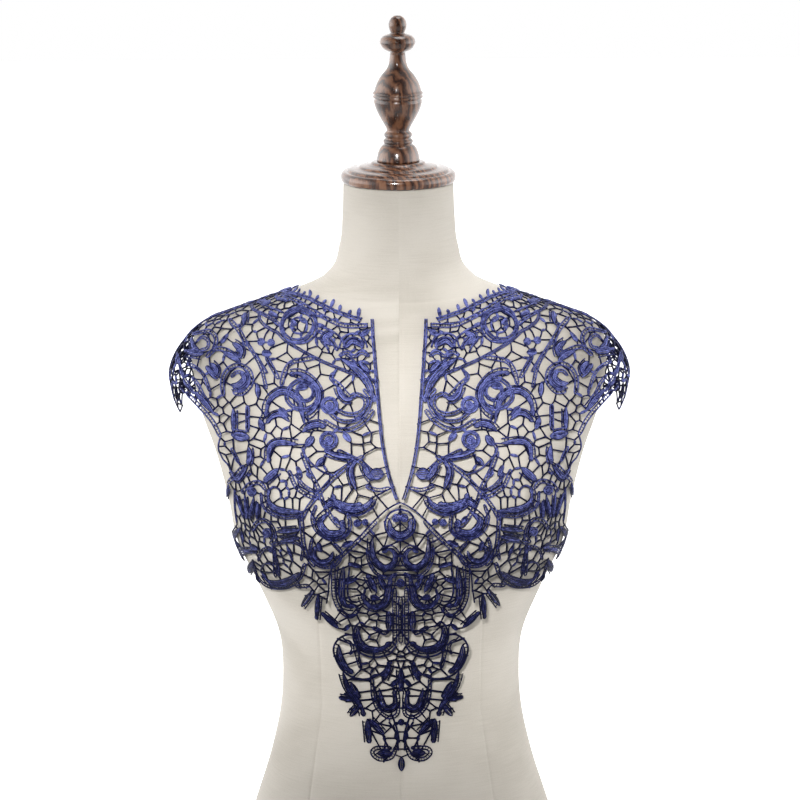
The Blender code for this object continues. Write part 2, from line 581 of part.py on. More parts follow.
def motif_places():
    """Places in space along every motif of the right half, with the clear half width round each."""
    places, widths = [], []
    slit = from_draft(SLIT_EDGE_OF_BAND + (SLIT_BAND_CORNER,) + SLIT_EDGE_OF_FRONT)
    lines = [(2.5, beside(slit, 2.5 * DRAFT_SQUARE))]
    lines += [(width, from_draft(line)) for width, line in MOTIFS + CENTRE_MOTIFS]
    for width, line in lines:
        here = sampled(line, 0.002)
        places.append(here)
        widths.append(np.full(len(here), width * DRAFT_SQUARE + MOTIF_MARGIN))
    places = np.vstack(places)
    widths = np.concatenate(widths)
    return np.vstack([places, places * (-1, 1, 1)]), np.concatenate([widths, widths])


def cell_sites(outlines, edges, motifs, motif_widths):
    """The middles of the net's cells on the right half: first the wide gaps, then darts that keep their distance."""
    rng = np.random.default_rng(GAP_SEED)
    wide = np.array(WIDE_GAPS, float)
    sites = list(from_draft(wide[:, :2]))
    keep = [row[2] * DRAFT_SQUARE for row in wide]
    places = [lace_point(*site) for site in sites]
    axis = np.stack([np.zeros(AXIS_TRIES), np.linspace(NET_FOOT[1], LOW_NET_TOP, AXIS_TRIES)], axis=1)
    darts = np.vstack([axis, rng.random((GAP_TRIES, 2)) * NET_SPAN + NET_FOOT])
    within = inside(darts, outlines["front_right"]) | inside(darts, outlines["centre_point"])
    within |= inside(darts, outlines["back_yoke"])
    darts = darts[within]
    spots = lace_point(darts[:, 0], darts[:, 1])
    apart = LOW_SPACING + (GAP_SPACING - LOW_SPACING) * smooth((spots[:, 2] - LOW_NET_TOP) / NET_BLEND)
    for dart, spot, own in zip(darts, spots, apart):
        if 0 < spot[0] < own / 2:
            continue
        if np.linalg.norm(edges - spot, axis=1).min() < EDGE_MARGIN + RIM_ROOM:
            continue
        if (np.linalg.norm(motifs - spot, axis=1) - motif_widths).min() < MOTIF_ROOM * own:
            continue
        away = np.linalg.norm(np.array(places) - spot, axis=1)
        if (away < np.maximum(own, keep)).any():
            continue
        sites.append(dart)
        places.append(spot)
        keep.append(own)
    return np.array(sites), np.array(places)


def gap_polygons(sites, places, edges, motifs, motif_widths):
    """One rounded gap a site, its corners as (turn, height), and the area of each."""
    others = np.vstack([places, places * (-1, 1, 1)])
    rng = np.random.default_rng(GAP_SEED + 1)
    step = 1e-3
    found = []
    for site, place in zip(sites, places):
        right = lace_point(site[0] + step, site[1]) - lace_point(site[0] - step, site[1])
        up = lace_point(site[0], site[1] + step) - lace_point(site[0], site[1] - step)
        right /= np.linalg.norm(right)
        up -= (up @ right) * right
        up /= np.linalg.norm(up)
        frame = np.stack([right, up], axis=1)
        limits = []
        for points, clear in ((others, None), (edges, EDGE_MARGIN), (motifs, motif_widths)):
            off = points - place
            length = np.linalg.norm(off, axis=1)
            near = (length < 0.03) & (length > 1e-6)
            flat = off[near] @ frame
            size = np.maximum(np.linalg.norm(flat, axis=1), 1e-6)
            if clear is None:
                room = length[near] / 2 - NET_BAR / 2
            else:
                room = length[near] - (clear if np.isscalar(clear) else clear[near])
            limits.append(np.column_stack([flat / size[:, None], room]))
        limits = np.vstack(limits)
        start = rng.random() * math.tau
        angles = start + np.arange(GAP_CORNERS) * math.tau / GAP_CORNERS
        rays = np.stack([np.cos(angles), np.sin(angles)], axis=1)
        facing = rays @ limits[:, :2].T
        reach = np.where(facing > 0.05, limits[:, 2] / np.maximum(facing, 0.05), 1.0).min(1)
        reach = np.clip(reach, 0.0002, WIDEST_GAP)
        corners = rays * reach[:, None]
        after = np.roll(corners, -1, axis=0)
        area = (corners[:, 0] * after[:, 1] - corners[:, 1] * after[:, 0]).sum() / 2
        width = (reach + np.roll(reach, GAP_CORNERS // 2)).min()
        polygon = moved(np.repeat(site[None], GAP_CORNERS, axis=0), corners)
        found.append((area if width > LEAST_GAP else 0.0, polygon))
    return found


MEAN_RADIUS = 0.13  # metres to a radian of turn, nearly


def filled(name, outline, holes, inner):
    """The area inside the outline and outside the holes as corners, (turn, height), and triangles between them."""
    loops = [outline] + holes
    corners = np.vstack(loops + ([inner] if len(inner) else []))
    owner = np.concatenate([np.full(len(loop), i) for i, loop in enumerate(loops)] + [np.full(len(inner), -1)])
    edges = []
    start = 0
    for loop in loops:
        edges += [(start + i, start + (i + 1) % len(loop)) for i in range(len(loop))]
        start += len(loop)
    flat = [Vector((turn * MEAN_RADIUS, height)) for turn, height in corners]
    points, _, faces, origins, _, _ = delaunay_2d_cdt(flat, edges, [], 0, 1e-7)
    if len(points) != len(corners):
        raise ValueError(f"{name}: its outlines cross, {len(points)} corners from {len(corners)}")
    source = np.array([origin[0] for origin in origins])
    faces = source[np.array(faces)]
    middles = corners[faces].mean(axis=1)
    keep = inside(middles, outline)
    same = (owner[faces] == owner[faces[:, :1]]).all(axis=1) & (owner[faces[:, 0]] > 0)
    for i in np.flatnonzero(same & keep):
        keep[i] = not inside(middles[i : i + 1], loops[owner[faces[i, 0]]])[0]
    a, b, c = (corners[faces[:, i]] for i in range(3))
    area = (b[:, 0] - a[:, 0]) * (c[:, 1] - a[:, 1]) - (b[:, 1] - a[:, 1]) * (c[:, 0] - a[:, 0])
    faces[area < 0] = faces[area < 0][:, ::-1]
    return corners, faces[keep & (np.abs(area) > LEAST_AREA)]


def bends(corners, faces):
    """The middles of the inner edges that cut a curve of the lace short by more than MOST_CHORD."""
    ends = np.vstack([faces[:, [0, 1]], faces[:, [1, 2]], faces[:, [2, 0]]])
    seen = {tuple(end) for end in ends.tolist()}
    inner = np.array([end for end in seen if end[0] < end[1] and end[::-1] in seen])
    middles = corners[inner].mean(axis=1)
    place = lace_point(corners[:, 0], corners[:, 1])
    true = lace_point(middles[:, 0], middles[:, 1])
    short = np.linalg.norm(true - place[inner].mean(axis=1), axis=1)
    found = []
    for i in np.argsort(-short):
        if short[i] < MOST_CHORD:
            break
        if all(np.linalg.norm(true[i] - true[j]) > 0.005 for j in found):
            found.append(i)
    return middles[found]


def sheet(name, outline, holes, inner, material):
    """A wall of lace inside the outline, the holes cut through it, its two faces LACE_WALL apart."""
    for _ in range(REFINEMENTS):
        corners, faces = filled(name, outline, holes, inner)
        more = bends(corners, faces)
        inner = np.vstack([inner, more])
    corners, faces = filled(name, outline, holes, inner)
    middle = lace_point(corners[:, 0], corners[:, 1])
    normal = normal_of(lace_point, corners[:, 0], corners[:, 1])
    outer = middle + normal * LACE_WALL / 2
    inner_face = middle - normal * LACE_WALL / 2
    ends = np.vstack([faces[:, [0, 1]], faces[:, [1, 2]], faces[:, [2, 0]]])
    seen = {tuple(end) for end in ends.tolist()}
    open_ends = [end for end in seen if end[::-1] not in seen]
    count = len(corners)
    walls = [(end[1], end[0], end[0] + count, end[1] + count) for end in open_ends]
    mesh = bpy.data.meshes.new(name)
    all_faces = faces.tolist() + [[f[2] + count, f[1] + count, f[0] + count] for f in faces.tolist()] + walls
    mesh.from_pydata(np.vstack([outer, inner_face]).tolist(), [], all_faces)
    return placed(mesh, material)


def placed(mesh, material):
    """The mesh as an object of the scene, with loose points removed and its faces turned outward."""
    shape = bmesh.new()
    shape.from_mesh(mesh)
    loose = [corner for corner in shape.verts if not corner.link_faces]
    bmesh.ops.delete(shape, geom=loose, context="VERTS")
    bmesh.ops.triangulate(shape, faces=shape.faces)
    bmesh.ops.recalc_face_normals(shape, faces=shape.faces)
    shape.to_mesh(mesh)
    shape.free()
    mesh.materials.append(material)
    obj = bpy.data.objects.new(mesh.name, mesh)
    bpy.context.scene.collection.objects.link(obj)
    return obj


# ---------------------------------------------------------------- the form and its turned wood

FORM_RINGS = (
    0.0, 0.04, 0.085, 0.125, 0.16, 0.19, 0.215, 0.24, 0.27, 0.3, 0.325, 0.348, 0.37, 0.39, 0.41, 0.432, 0.458,
    0.482, 0.505, 0.525, 0.54, 0.551, 0.56, 0.568, 0.576, 0.584, 0.592, 0.6, 0.61, 0.622, 0.64, 0.664, NECK_TOP,
)
FORM_TURNS = 36
SIDE_CROWDING = 0.16  # the rings crowd their points towards the sides, where the shoulders turn sharply
NECK_AXIS = -0.014

# The turned wood, each a profile of (radius, height) in mm from the axis at the foot to the axis at the top.
CAP_PROFILE = (
    (0.0, 688.3), (49.0, 688.3), (51.8, 689.6), (52.5, 693.0), (51.6, 696.6), (48.5, 698.2), (46.4, 698.4),
    (45.8, 699.8), (36.0, 701.2), (35.4, 702.6), (25.0, 704.6), (24.0, 706.2), (21.0, 706.8), (0.0, 706.8),
)
FINIAL_PROFILE = (
    (0.0, 707.1), (19.4, 707.1), (19.6, 709.5), (18.1, 716.6), (14.8, 721.4), (12.2, 722.6), (13.8, 724.6),
    (12.2, 727.0), (11.6, 728.0), (13.0, 730.2), (12.4, 732.6), (10.4, 734.2), (11.4, 737.6), (14.4, 742.8),
    (18.1, 749.5), (21.2, 756.8), (22.1, 762.0), (21.0, 763.6), (22.9, 765.4), (21.9, 767.2), (23.0, 769.0),
    (21.6, 771.4), (18.9, 778.5), (14.6, 785.6), (9.4, 791.5), (7.6, 799.5), (6.9, 805.8), (12.8, 808.2),
    (16.2, 814.6), (12.6, 820.6), (6.2, 822.2), (7.6, 826.0), (8.2, 830.0), (7.0, 834.4), (4.0, 837.8), (0.0, 839.0),
)


def dress_form(material):
    """The padded form: rings of the section table, closed by a flat base and a flat neck."""
    turns = np.arange(FORM_TURNS) * math.tau / FORM_TURNS
    turns = turns - SIDE_CROWDING * np.sin(2 * turns)
    turn, height = np.meshgrid(turns, FORM_RINGS)
    points = form_point(turn, height).reshape(-1, 3).tolist()
    faces = []
    for ring in range(len(FORM_RINGS) - 1):
        for i in range(FORM_TURNS):
            a = ring * FORM_TURNS + i
            b = ring * FORM_TURNS + (i + 1) % FORM_TURNS
            faces.append((a, b, b + FORM_TURNS, a + FORM_TURNS))
    top = (len(FORM_RINGS) - 1) * FORM_TURNS
    points += [[0.0, 0.0, 0.0], [0.0, NECK_AXIS, NECK_TOP]]
    for i in range(FORM_TURNS):
        after = (i + 1) % FORM_TURNS
        faces.append((after, i, len(points) - 2))
        faces.append((top + i, top + after, len(points) - 1))
    mesh = bpy.data.meshes.new("dress_form")
    mesh.from_pydata(points, [], faces)
    return placed(mesh, material)


def turned(name, profile, segments, material):
    """A solid of revolution about the neck's axis."""
    rows = np.array(profile[1:-1]) / 1000
    turns = np.arange(segments) * math.tau / segments
    points = []
    for radius, height in rows:
        points += [[radius * math.sin(t), NECK_AXIS - radius * math.cos(t), height] for t in turns]
    points += [[0.0, NECK_AXIS, profile[0][1] / 1000], [0.0, NECK_AXIS, profile[-1][1] / 1000]]
    faces = []
    for ring in range(len(rows) - 1):
        for i in range(segments):
            a = ring * segments + i
            b = ring * segments + (i + 1) % segments
            faces.append((a, b, b + segments, a + segments))
    top = (len(rows) - 1) * segments
    for i in range(segments):
        after = (i + 1) % segments
        faces.append((after, i, len(points) - 2))
        faces.append((top + i, top + after, len(points) - 1))
    mesh = bpy.data.meshes.new(name)
    mesh.from_pydata(points, [], faces)
    return placed(mesh, material)


def slot(name, colour, roughness):
    """A material of one colour, shown the same in the viewport."""
    material = bpy.data.materials.new(name)
    material.diffuse_color = colour
    material.use_nodes = True
    shader = material.node_tree.nodes["Principled BSDF"]
    shader.inputs["Base Color"].default_value = colour
    shader.inputs["Roughness"].default_value = roughness
    shader.inputs["Metallic"].default_value = 0.0
    return material


def spread(points, places, apart, taken):
    """Points of the list that keep their distance from the places taken and from each other."""
    found = []
    taken = list(taken)
    for point, place in zip(points, places):
        if np.linalg.norm(np.array(taken) - place, axis=1).min() >= apart:
            found.append(point)
            taken.append(place)
    return np.array(found).reshape(-1, 2)


def build():
    for old in list(bpy.data.objects):
        bpy.data.objects.remove(old)
    linen = slot("linen", (0.86, 0.83, 0.76, 1.0), 0.85)
    wood = slot("walnut", (0.25, 0.1, 0.05, 1.0), 0.3)
    thread = slot("blue_thread", (0.08, 0.09, 0.4, 1.0), 0.5)
    dress_form(linen)
    turned("neck_cap", CAP_PROFILE, 40, wood)
    turned("finial", FINIAL_PROFILE, 20, wood)

    lines = lace_lines()
    outlines = lace_outlines(lines)
    rims = [sampled(np.vstack([outline, outline[:1]]), 0.002) for outline in outlines.values()]
    edges = np.vstack(rims)
    motifs, motif_widths = motif_places()
    sites, places = cell_sites(outlines, edges, motifs, motif_widths)
    gaps = gap_polygons(sites, places, edges, motifs, motif_widths)
    order = np.argsort([-area for area, _ in gaps])
    front_half = sites[order, 0] < SHOULDER
    order = np.concatenate([order[front_half][:FRONT_GAPS_A_HALF], order[~front_half][:BACK_GAPS_A_HALF]])
    cut = [gaps[i][1] for i in order if gaps[i][0] > 0]
    rng = np.random.default_rng(GAP_SEED + 2)
    grid = rng.random((INNER_TRIES, 2)) * NET_SPAN + NET_FOOT
    total = 0
    for name, outline in outlines.items():
        left = name == "front_left"
        whole = name in ("neck_band", "back_yoke", "centre_point")
        middles = np.array([gap.mean(axis=0) for gap in cut])
        holes = []
        if not left:
            holes = [gap for gap, middle in zip(cut, middles) if inside(middle[None], outline)[0]]
        if left:
            holes = [mirrored(gap) for gap, middle in zip(cut, middles) if inside(middle[None] * (-1, 1), outline)[0]]
        if whole:
            past = (0, 0) if name == "centre_point" else (math.tau, 0)
            # A gap that crosses the centre line is its own mirror image.
            holes += [mirrored(gap) + past for gap in holes if gap[:, 0].min() > 0]
        span = grid * (-1, 1) if left else grid
        if whole and name != "centre_point":
            span = np.vstack([span, span * (-1, 1) + (math.tau, 0)])
        if name == "centre_point":
            span = np.vstack([span, span * (-1, 1)])
        span = span[inside(span, outline)]
        rim = lace_point(outline[:, 0], outline[:, 1])
        taken = [rim] + [lace_point(hole[:, 0], hole[:, 1]) for hole in holes]
        line = sampled(np.vstack([outline, outline[:1]]), 0.004)
        inner = spread(span, lace_point(span[:, 0], span[:, 1]), INNER_SPACING, np.vstack(taken + [line]))
        obj = sheet(name, outline, holes, inner, thread)
        total += len(holes)
        print(name, len(outline), "corners,", len(holes), "gaps,", len(obj.data.polygons), "triangles")
    cells = 2 * len(gaps) - int((sites[:, 0] == 0).sum())
    smallest = 1000 * math.sqrt(gaps[order[-1]][0])
    print("gaps cut through:", total, "of", cells, "cells; the smallest is", round(smallest, 1), "mm wide")


build()
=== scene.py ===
# %% [markdown]
# # A guipure lace collar on its dress form
#
# Guipure is worked by machine on a ground that is dissolved afterwards, so only thread is left: padded
# satin-stitch scrolls and leaves, tied together by thin bars. This lesson builds such a collar thread by thread and
# lays it on a padded form. Lengths are in metres, +Z is up and the chest faces -Y.

# %% the frame
import math

import bmesh
import bpy
import mathutils
import mathutils.kdtree
import numpy as np
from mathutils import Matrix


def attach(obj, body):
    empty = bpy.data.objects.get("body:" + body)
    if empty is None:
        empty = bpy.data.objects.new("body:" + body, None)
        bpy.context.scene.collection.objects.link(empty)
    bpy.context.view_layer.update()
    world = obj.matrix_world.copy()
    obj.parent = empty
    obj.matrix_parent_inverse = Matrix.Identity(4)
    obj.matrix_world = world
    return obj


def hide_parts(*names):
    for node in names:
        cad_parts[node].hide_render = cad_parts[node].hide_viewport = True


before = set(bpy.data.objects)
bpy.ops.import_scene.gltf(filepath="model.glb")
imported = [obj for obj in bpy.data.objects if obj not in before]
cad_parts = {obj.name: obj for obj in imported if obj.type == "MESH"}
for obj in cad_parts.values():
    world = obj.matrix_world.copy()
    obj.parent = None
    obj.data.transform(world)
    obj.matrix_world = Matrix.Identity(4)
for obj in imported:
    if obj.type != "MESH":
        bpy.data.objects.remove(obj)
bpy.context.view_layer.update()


def table(rows):
    """The rows of numbers in a text: commas within a row, spaces or new lines between rows."""
    return np.array([[float(number) for number in row.split(",")] for row in rows.split()])

# %% [markdown]
# ## The padded form
#
# A tailor's form is drafted by sections: its half width and its depths at each height. A smooth curve through the
# rows of a table gives every other height, and a rounded oval closes each section. The bust is added as two soft
# rises. The same function later tells the lace where to lie, so the two can never drift apart.

# %% sections of the form
FORM_SECTIONS = np.array(
    (
        # height  half   centre  front  back   round
        (0.0, 162.0, 0.0, 108.0, 112.0, 2.2),
        (45.0, 152.0, 0.0, 106.0, 108.0, 2.2),
        (87.0, 139.0, 0.0, 100.0, 98.0, 2.2),
        (136.0, 124.0, 0.0, 90.0, 83.0, 2.2),
        (185.0, 114.0, 0.0, 82.0, 71.0, 2.2),
        (215.0, 112.0, 0.0, 79.0, 68.0, 2.2),
        (257.0, 115.0, 0.0, 80.0, 71.0, 2.2),
        (304.0, 133.0, 0.0, 89.0, 81.0, 2.2),
        (352.0, 154.0, 0.0, 100.0, 92.0, 2.25),
        (387.0, 160.0, 0.0, 104.0, 98.0, 2.3),
        (433.0, 171.0, 0.0, 98.0, 101.0, 2.3),
        (480.0, 186.0, 0.0, 84.0, 96.0, 2.3),
        (510.0, 191.0, 0.0, 75.0, 90.0, 2.2),
        (536.0, 191.0, 0.0, 68.0, 83.0, 2.1),
        (548.0, 186.0, 0.0, 65.5, 79.5, 2.05),
        (556.0, 176.0, 0.0, 64.0, 77.0, 2.0),
        (563.0, 158.0, 0.0, 62.5, 74.5, 2.0),
        (570.0, 137.0, 0.0, 61.0, 72.0, 2.0),
        (578.0, 114.0, -1.0, 58.5, 69.5, 2.0),
        (585.0, 95.0, -2.0, 56.0, 68.0, 2.0),
        (593.0, 77.0, -3.5, 54.0, 65.0, 2.0),
        (604.0, 64.0, -6.0, 52.0, 60.0, 2.0),
        (630.0, 54.0, -10.0, 50.0, 53.0, 2.0),
        (660.0, 51.0, -13.0, 50.0, 50.0, 2.0),
        (688.0, 50.0, -14.0, 50.0, 50.0, 2.0),
    )
)
SECTION_SLOPES = np.gradient(FORM_SECTIONS[:, 1:], FORM_SECTIONS[:, 0], axis=0)
NECK_TOP = 0.688
BUST_APEX, BUST_HEIGHT, BUST_FULLNESS = 0.072, 0.388, 0.024
BUST_SPREAD, BUST_RISE, BUST_FADE = 0.042, 0.046, 1.6


def section_at(height):
    """Every column of the section table at each height."""
    levels = FORM_SECTIONS[:, 0]
    z = np.asarray(height, float) * 1000
    i = np.clip(np.searchsorted(levels, z) - 1, 0, len(levels) - 2)
    step = levels[i + 1] - levels[i]
    f = np.clip((z - levels[i]) / step, 0, 1)[..., None]
    step = step[..., None]
    rows = (
        FORM_SECTIONS[i, 1:] * (2 * f**3 - 3 * f**2 + 1)
        + FORM_SECTIONS[i + 1, 1:] * (3 * f**2 - 2 * f**3)
        + SECTION_SLOPES[i] * step * (f**3 - 2 * f**2 + f)
        + SECTION_SLOPES[i + 1] * step * (f**3 - f**2)
    )
    return np.moveaxis(rows, -1, 0)


def form_point(turn, height, bridge=0.0):
    """The form at a turn about its axis (0 in front, a quarter turn at +X) and a height. bridge from 0 to 1 fills
    the hollow between the bust points."""
    turn, height = np.broadcast_arrays(np.asarray(turn, float), np.asarray(height, float))
    half, centre, front, back, power = section_at(height)
    sine, cosine = np.sin(turn), np.cos(turn)
    depth = np.where(cosine > 0, front, back)
    size = (np.abs(sine) ** power + np.abs(cosine) ** power) ** (-1 / power)
    x = half * sine * size
    y = centre - depth * cosine * size
    rise = np.exp(-(((height - BUST_HEIGHT) / BUST_RISE) ** 2))
    off = np.abs(x) / 1000 - BUST_APEX
    cups = np.exp(-((off / BUST_SPREAD) ** 2)) + np.exp(-(((off + 2 * BUST_APEX) / BUST_SPREAD) ** 2))
    plateau = np.exp(-((np.maximum(off, 0) / BUST_SPREAD) ** 2))
    front_share = np.clip(cosine * BUST_FADE, 0, 1) ** 1.5
    y = y - 1000 * BUST_FULLNESS * rise * front_share * (cups + bridge * (plateau - cups).clip(0))
    return np.stack([x / 1000, y / 1000, height], axis=-1)


def normal_of(surface, turn, height, step=2e-3):
    """The outward normal of a surface(turn, height)."""
    across = surface(turn + step, height) - surface(turn - step, height)
    up = surface(turn, height + step) - surface(turn, height - step)
    normal = np.cross(across, up)
    return normal / np.maximum(np.linalg.norm(normal, axis=-1, keepdims=True), 1e-12)


print("the front of the form at the bust:", form_point(0.0, BUST_HEIGHT).round(4))

# %% [markdown]
# ## How the lace hangs
#
# Lace doesn't follow every hollow. It spans tautly from one bust point to the other and from the bust up to the
# collar bone, and below the bust it hangs free under its own weight, so the long point stands off the waist. The
# shoulder wings are stiff and stand out past the form. One function gives the middle of the lace everywhere, and
# each thread is placed by its lift from it.

# %% the drape
LACE_LIFT = 0.0017
BUST_BRIDGE = 0.75
HANG_HEIGHT, HANG_TAPER, CHEST_SLOPE, HANG_SOFTNESS = 0.392, 0.28, 0.36, 0.004
WING_TOP, WING_FLARE, WING_BOTTOM = 0.558, 0.021, 0.425
WING_SPREAD, WING_RUN_OUT, WING_RUN_IN = 0.16, 0.055, 0.04


def smooth(value):
    """A value held between 0 and 1, with its corners eased."""
    value = np.clip(value, 0, 1)
    return value * value * (3 - 2 * value)


def cover_point(turn, height):
    """The form as the lace feels it."""
    return form_point(turn, height, BUST_BRIDGE)


def lace_point(turn, height):
    """The middle of the lace: on the form, or further out where it hangs free or stands out as a wing."""
    turn, height = np.broadcast_arrays(np.asarray(turn, float), np.asarray(height, float))
    point = cover_point(turn, height) + LACE_LIFT * normal_of(cover_point, turn, height)
    bust = cover_point(turn, np.full_like(height, HANG_HEIGHT))
    reach = np.hypot(bust[..., 0], bust[..., 1]) + LACE_LIFT
    reach = reach - HANG_TAPER * np.maximum(HANG_HEIGHT - height, 0)
    reach = reach - CHEST_SLOPE * np.maximum(height - HANG_HEIGHT, 0)
    radius = np.hypot(point[..., 0], point[..., 1])
    short = reach - radius
    front_share = smooth(0.5 + 1.6 * np.cos(turn))
    out = front_share * (short + np.sqrt(short**2 + HANG_SOFTNESS**2)) / 2
    side = np.exp(-(((np.abs(np.sin(turn)) - 1) / WING_SPREAD) ** 2))
    flare = WING_FLARE * side * smooth((WING_TOP - height) / WING_RUN_OUT)
    out = out + flare * smooth((height - WING_BOTTOM) / WING_RUN_IN)
    scale = 1 + out / np.maximum(radius, 1e-6)
    return np.stack([point[..., 0] * scale, point[..., 1] * scale, point[..., 2]], axis=-1)


print("the front of the lace at the bust:", lace_point(0.0, BUST_HEIGHT).round(4))

# %% [markdown]
# ## The draft
#
# A lace designer draws the collar flat, on squared paper, as it will be seen from the front. Columns are counted out
# from the centre line and rows down the sheet. `from_draft` finds the place on the draped lace that shows at a square,
# so every scroll below is a short row of squares.

# %% from the draft to the lace
DRAFT_SQUARE = 0.00093
DRAFT_MIDDLE = 400.0
SIGHT_HEIGHT, SIGHT_DISTANCE, SIGHT_FALL = 0.4796, 2.8, math.radians(14.0)


def seen_at(point):
    """Where a point shows on the draft: (squares out, row)."""
    x, y, z = point[..., 0], point[..., 1], point[..., 2] - SIGHT_HEIGHT
    away = SIGHT_DISTANCE + y * math.cos(SIGHT_FALL) - z * math.sin(SIGHT_FALL)
    scale = SIGHT_DISTANCE / DRAFT_SQUARE / away
    up = y * math.sin(SIGHT_FALL) + z * math.cos(SIGHT_FALL)
    return np.stack([x * scale, DRAFT_MIDDLE - up * scale], axis=-1)


def from_draft(squares):
    """(turn, height) of the front of the lace that shows at each square of the draft, by Newton's method in short
    steps."""
    squares = np.asarray(squares, float).reshape(-1, 2)
    turn = np.clip(squares[:, 0] / 200, -1.4, 1.4)
    height = SIGHT_HEIGHT - (squares[:, 1] - DRAFT_MIDDLE) * DRAFT_SQUARE
    step = 1e-3
    for _ in range(25):
        here = seen_at(lace_point(turn, height))
        by_turn = (seen_at(lace_point(turn + step, height)) - here) / step
        by_height = (seen_at(lace_point(turn, height + step)) - here) / step
        miss = squares - here
        det = by_turn[:, 0] * by_height[:, 1] - by_height[:, 0] * by_turn[:, 1]
        det = np.where(np.abs(det) < 2e4, np.where(det < 0, -2e4, 2e4), det)
        dt = (miss[:, 0] * by_height[:, 1] - by_height[:, 0] * miss[:, 1]) / det
        dh = (by_turn[:, 0] * miss[:, 1] - by_turn[:, 1] * miss[:, 0]) / det
        turn = np.clip(turn + np.clip(dt, -0.15, 0.15), -1.5, 1.5)
        height = height + np.clip(dh, -0.02, 0.02)
    return np.stack([turn, height], axis=-1)


def axes_at(points):
    """How the lace runs by turn and by height at each (turn, height), then its own right and, not scaled, its up."""
    points = np.asarray(points, float)
    step = 1e-4
    here = lace_point(points[:, 0], points[:, 1])
    by_turn = (lace_point(points[:, 0] + step, points[:, 1]) - here) / step
    by_height = (lace_point(points[:, 0], points[:, 1] + step) - here) / step
    right = by_turn / np.linalg.norm(by_turn, axis=1, keepdims=True)
    return by_turn, by_height, right, by_height - (by_height * right).sum(1, keepdims=True) * right


def moved(points, away):
    """Each (turn, height) moved over the lace by metres: to the right, and up."""
    points = np.asarray(points, float)
    by_turn, by_height, right, up = axes_at(points)
    away = np.broadcast_to(away, points.shape)
    dh = away[:, 1] / np.linalg.norm(up, axis=1)
    dt = (away[:, 0] - dh * (by_height * right).sum(1)) / np.linalg.norm(by_turn, axis=1)
    return points + np.stack([dt, dh], axis=1)


tip = from_draft([(0, 770)])[0]
print("the point hangs at height", round(float(tip[1]), 3), "and depth", round(float(lace_point(*tip)[1]), 3))

# %% [markdown]
# ## Mesh helpers
#
# Everything is built straight from arrays of points. A thread is swept along a line as a small flattened tube that
# keeps one flat side to the form, and its UV map holds the length along it and the way round it, both in metres, so
# that the twist of the yarn can follow every bend.

# %% helpers


def mesh_object(name, points, faces, material, uv=None, tint=None):
    """An object from points and quads or triangles, smooth shaded. uv is a pair for each corner of each face in
    order, and tint a number for each point."""
    mesh = bpy.data.meshes.new(name)
    faces = np.asarray(faces)
    mesh.vertices.add(len(points))
    mesh.vertices.foreach_set("co", np.asarray(points, np.float32).ravel())
    mesh.loops.add(faces.size)
    mesh.loops.foreach_set("vertex_index", faces.astype(np.int32).ravel())
    mesh.polygons.add(len(faces))
    mesh.polygons.foreach_set("loop_start", np.arange(0, faces.size, faces.shape[1], dtype=np.int32))
    mesh.polygons.foreach_set("use_smooth", np.ones(len(faces), bool))
    if uv is not None:
        layer = mesh.uv_layers.new(name="thread")
        layer.data.foreach_set("uv", np.asarray(uv, np.float32).ravel())
    if tint is not None:
        attribute = mesh.attributes.new("tint", "FLOAT", "POINT")
        attribute.data.foreach_set("value", np.asarray(tint, np.float32))
    mesh.update(calc_edges=True)
    mesh.validate()
    mesh.materials.append(material)
    obj = bpy.data.objects.new(name, mesh)
    bpy.context.scene.collection.objects.link(obj)
    return obj


class Yarn:
    """Gathers swept threads, to be made into one object."""

    def __init__(self):
        self.points, self.faces, self.uv, self.tint, self.count = [], [], [], [], 0

    def add(self, points, faces, uv, tint):
        self.points.append(points)
        self.faces.append(faces + self.count)
        self.uv.append(uv)
        self.tint.append(tint)
        self.count += len(points)

    def mirrored(self):
        """The same threads on the other half."""
        other = Yarn()
        for points, faces, uv, tint in zip(self.points, self.faces, self.uv, self.tint):
            uv = uv.reshape(len(faces), -1, 2)[:, ::-1].reshape(-1, 2)
            other.add(points * (-1, 1, 1), (faces - faces.min())[:, ::-1], uv, tint)
        return other

    def join(self, other):
        for points, faces, uv, tint in zip(other.points, other.faces, other.uv, other.tint):
            self.add(points, faces - faces.min(), uv, tint)

    def made(self, name, material):
        points, faces, uv = np.vstack(self.points), np.vstack(self.faces), np.vstack(self.uv)
        return mesh_object(name, points, faces, material, uv, np.concatenate(self.tint))


def length_along(line):
    """How far along a line each of its points is."""
    return np.concatenate([[0], np.cumsum(np.linalg.norm(np.diff(line, axis=0), axis=1))])


def unit(rows):
    """Each row at length 1."""
    return rows / np.maximum(np.linalg.norm(rows, axis=1, keepdims=True), 1e-9)


# The strength of the painted shade on each thread's sides and underside, where it begins, and the random change of tone
# from stitch to stitch.
PAINTED_UNDERSIDE_SHADE, EDGE_START, STITCH_SHADE = 0.2, 0.35, 0.11
laid = []  # every thread swept so far: its line, its half width and its yarn
stitch_luck = np.random.default_rng(11)


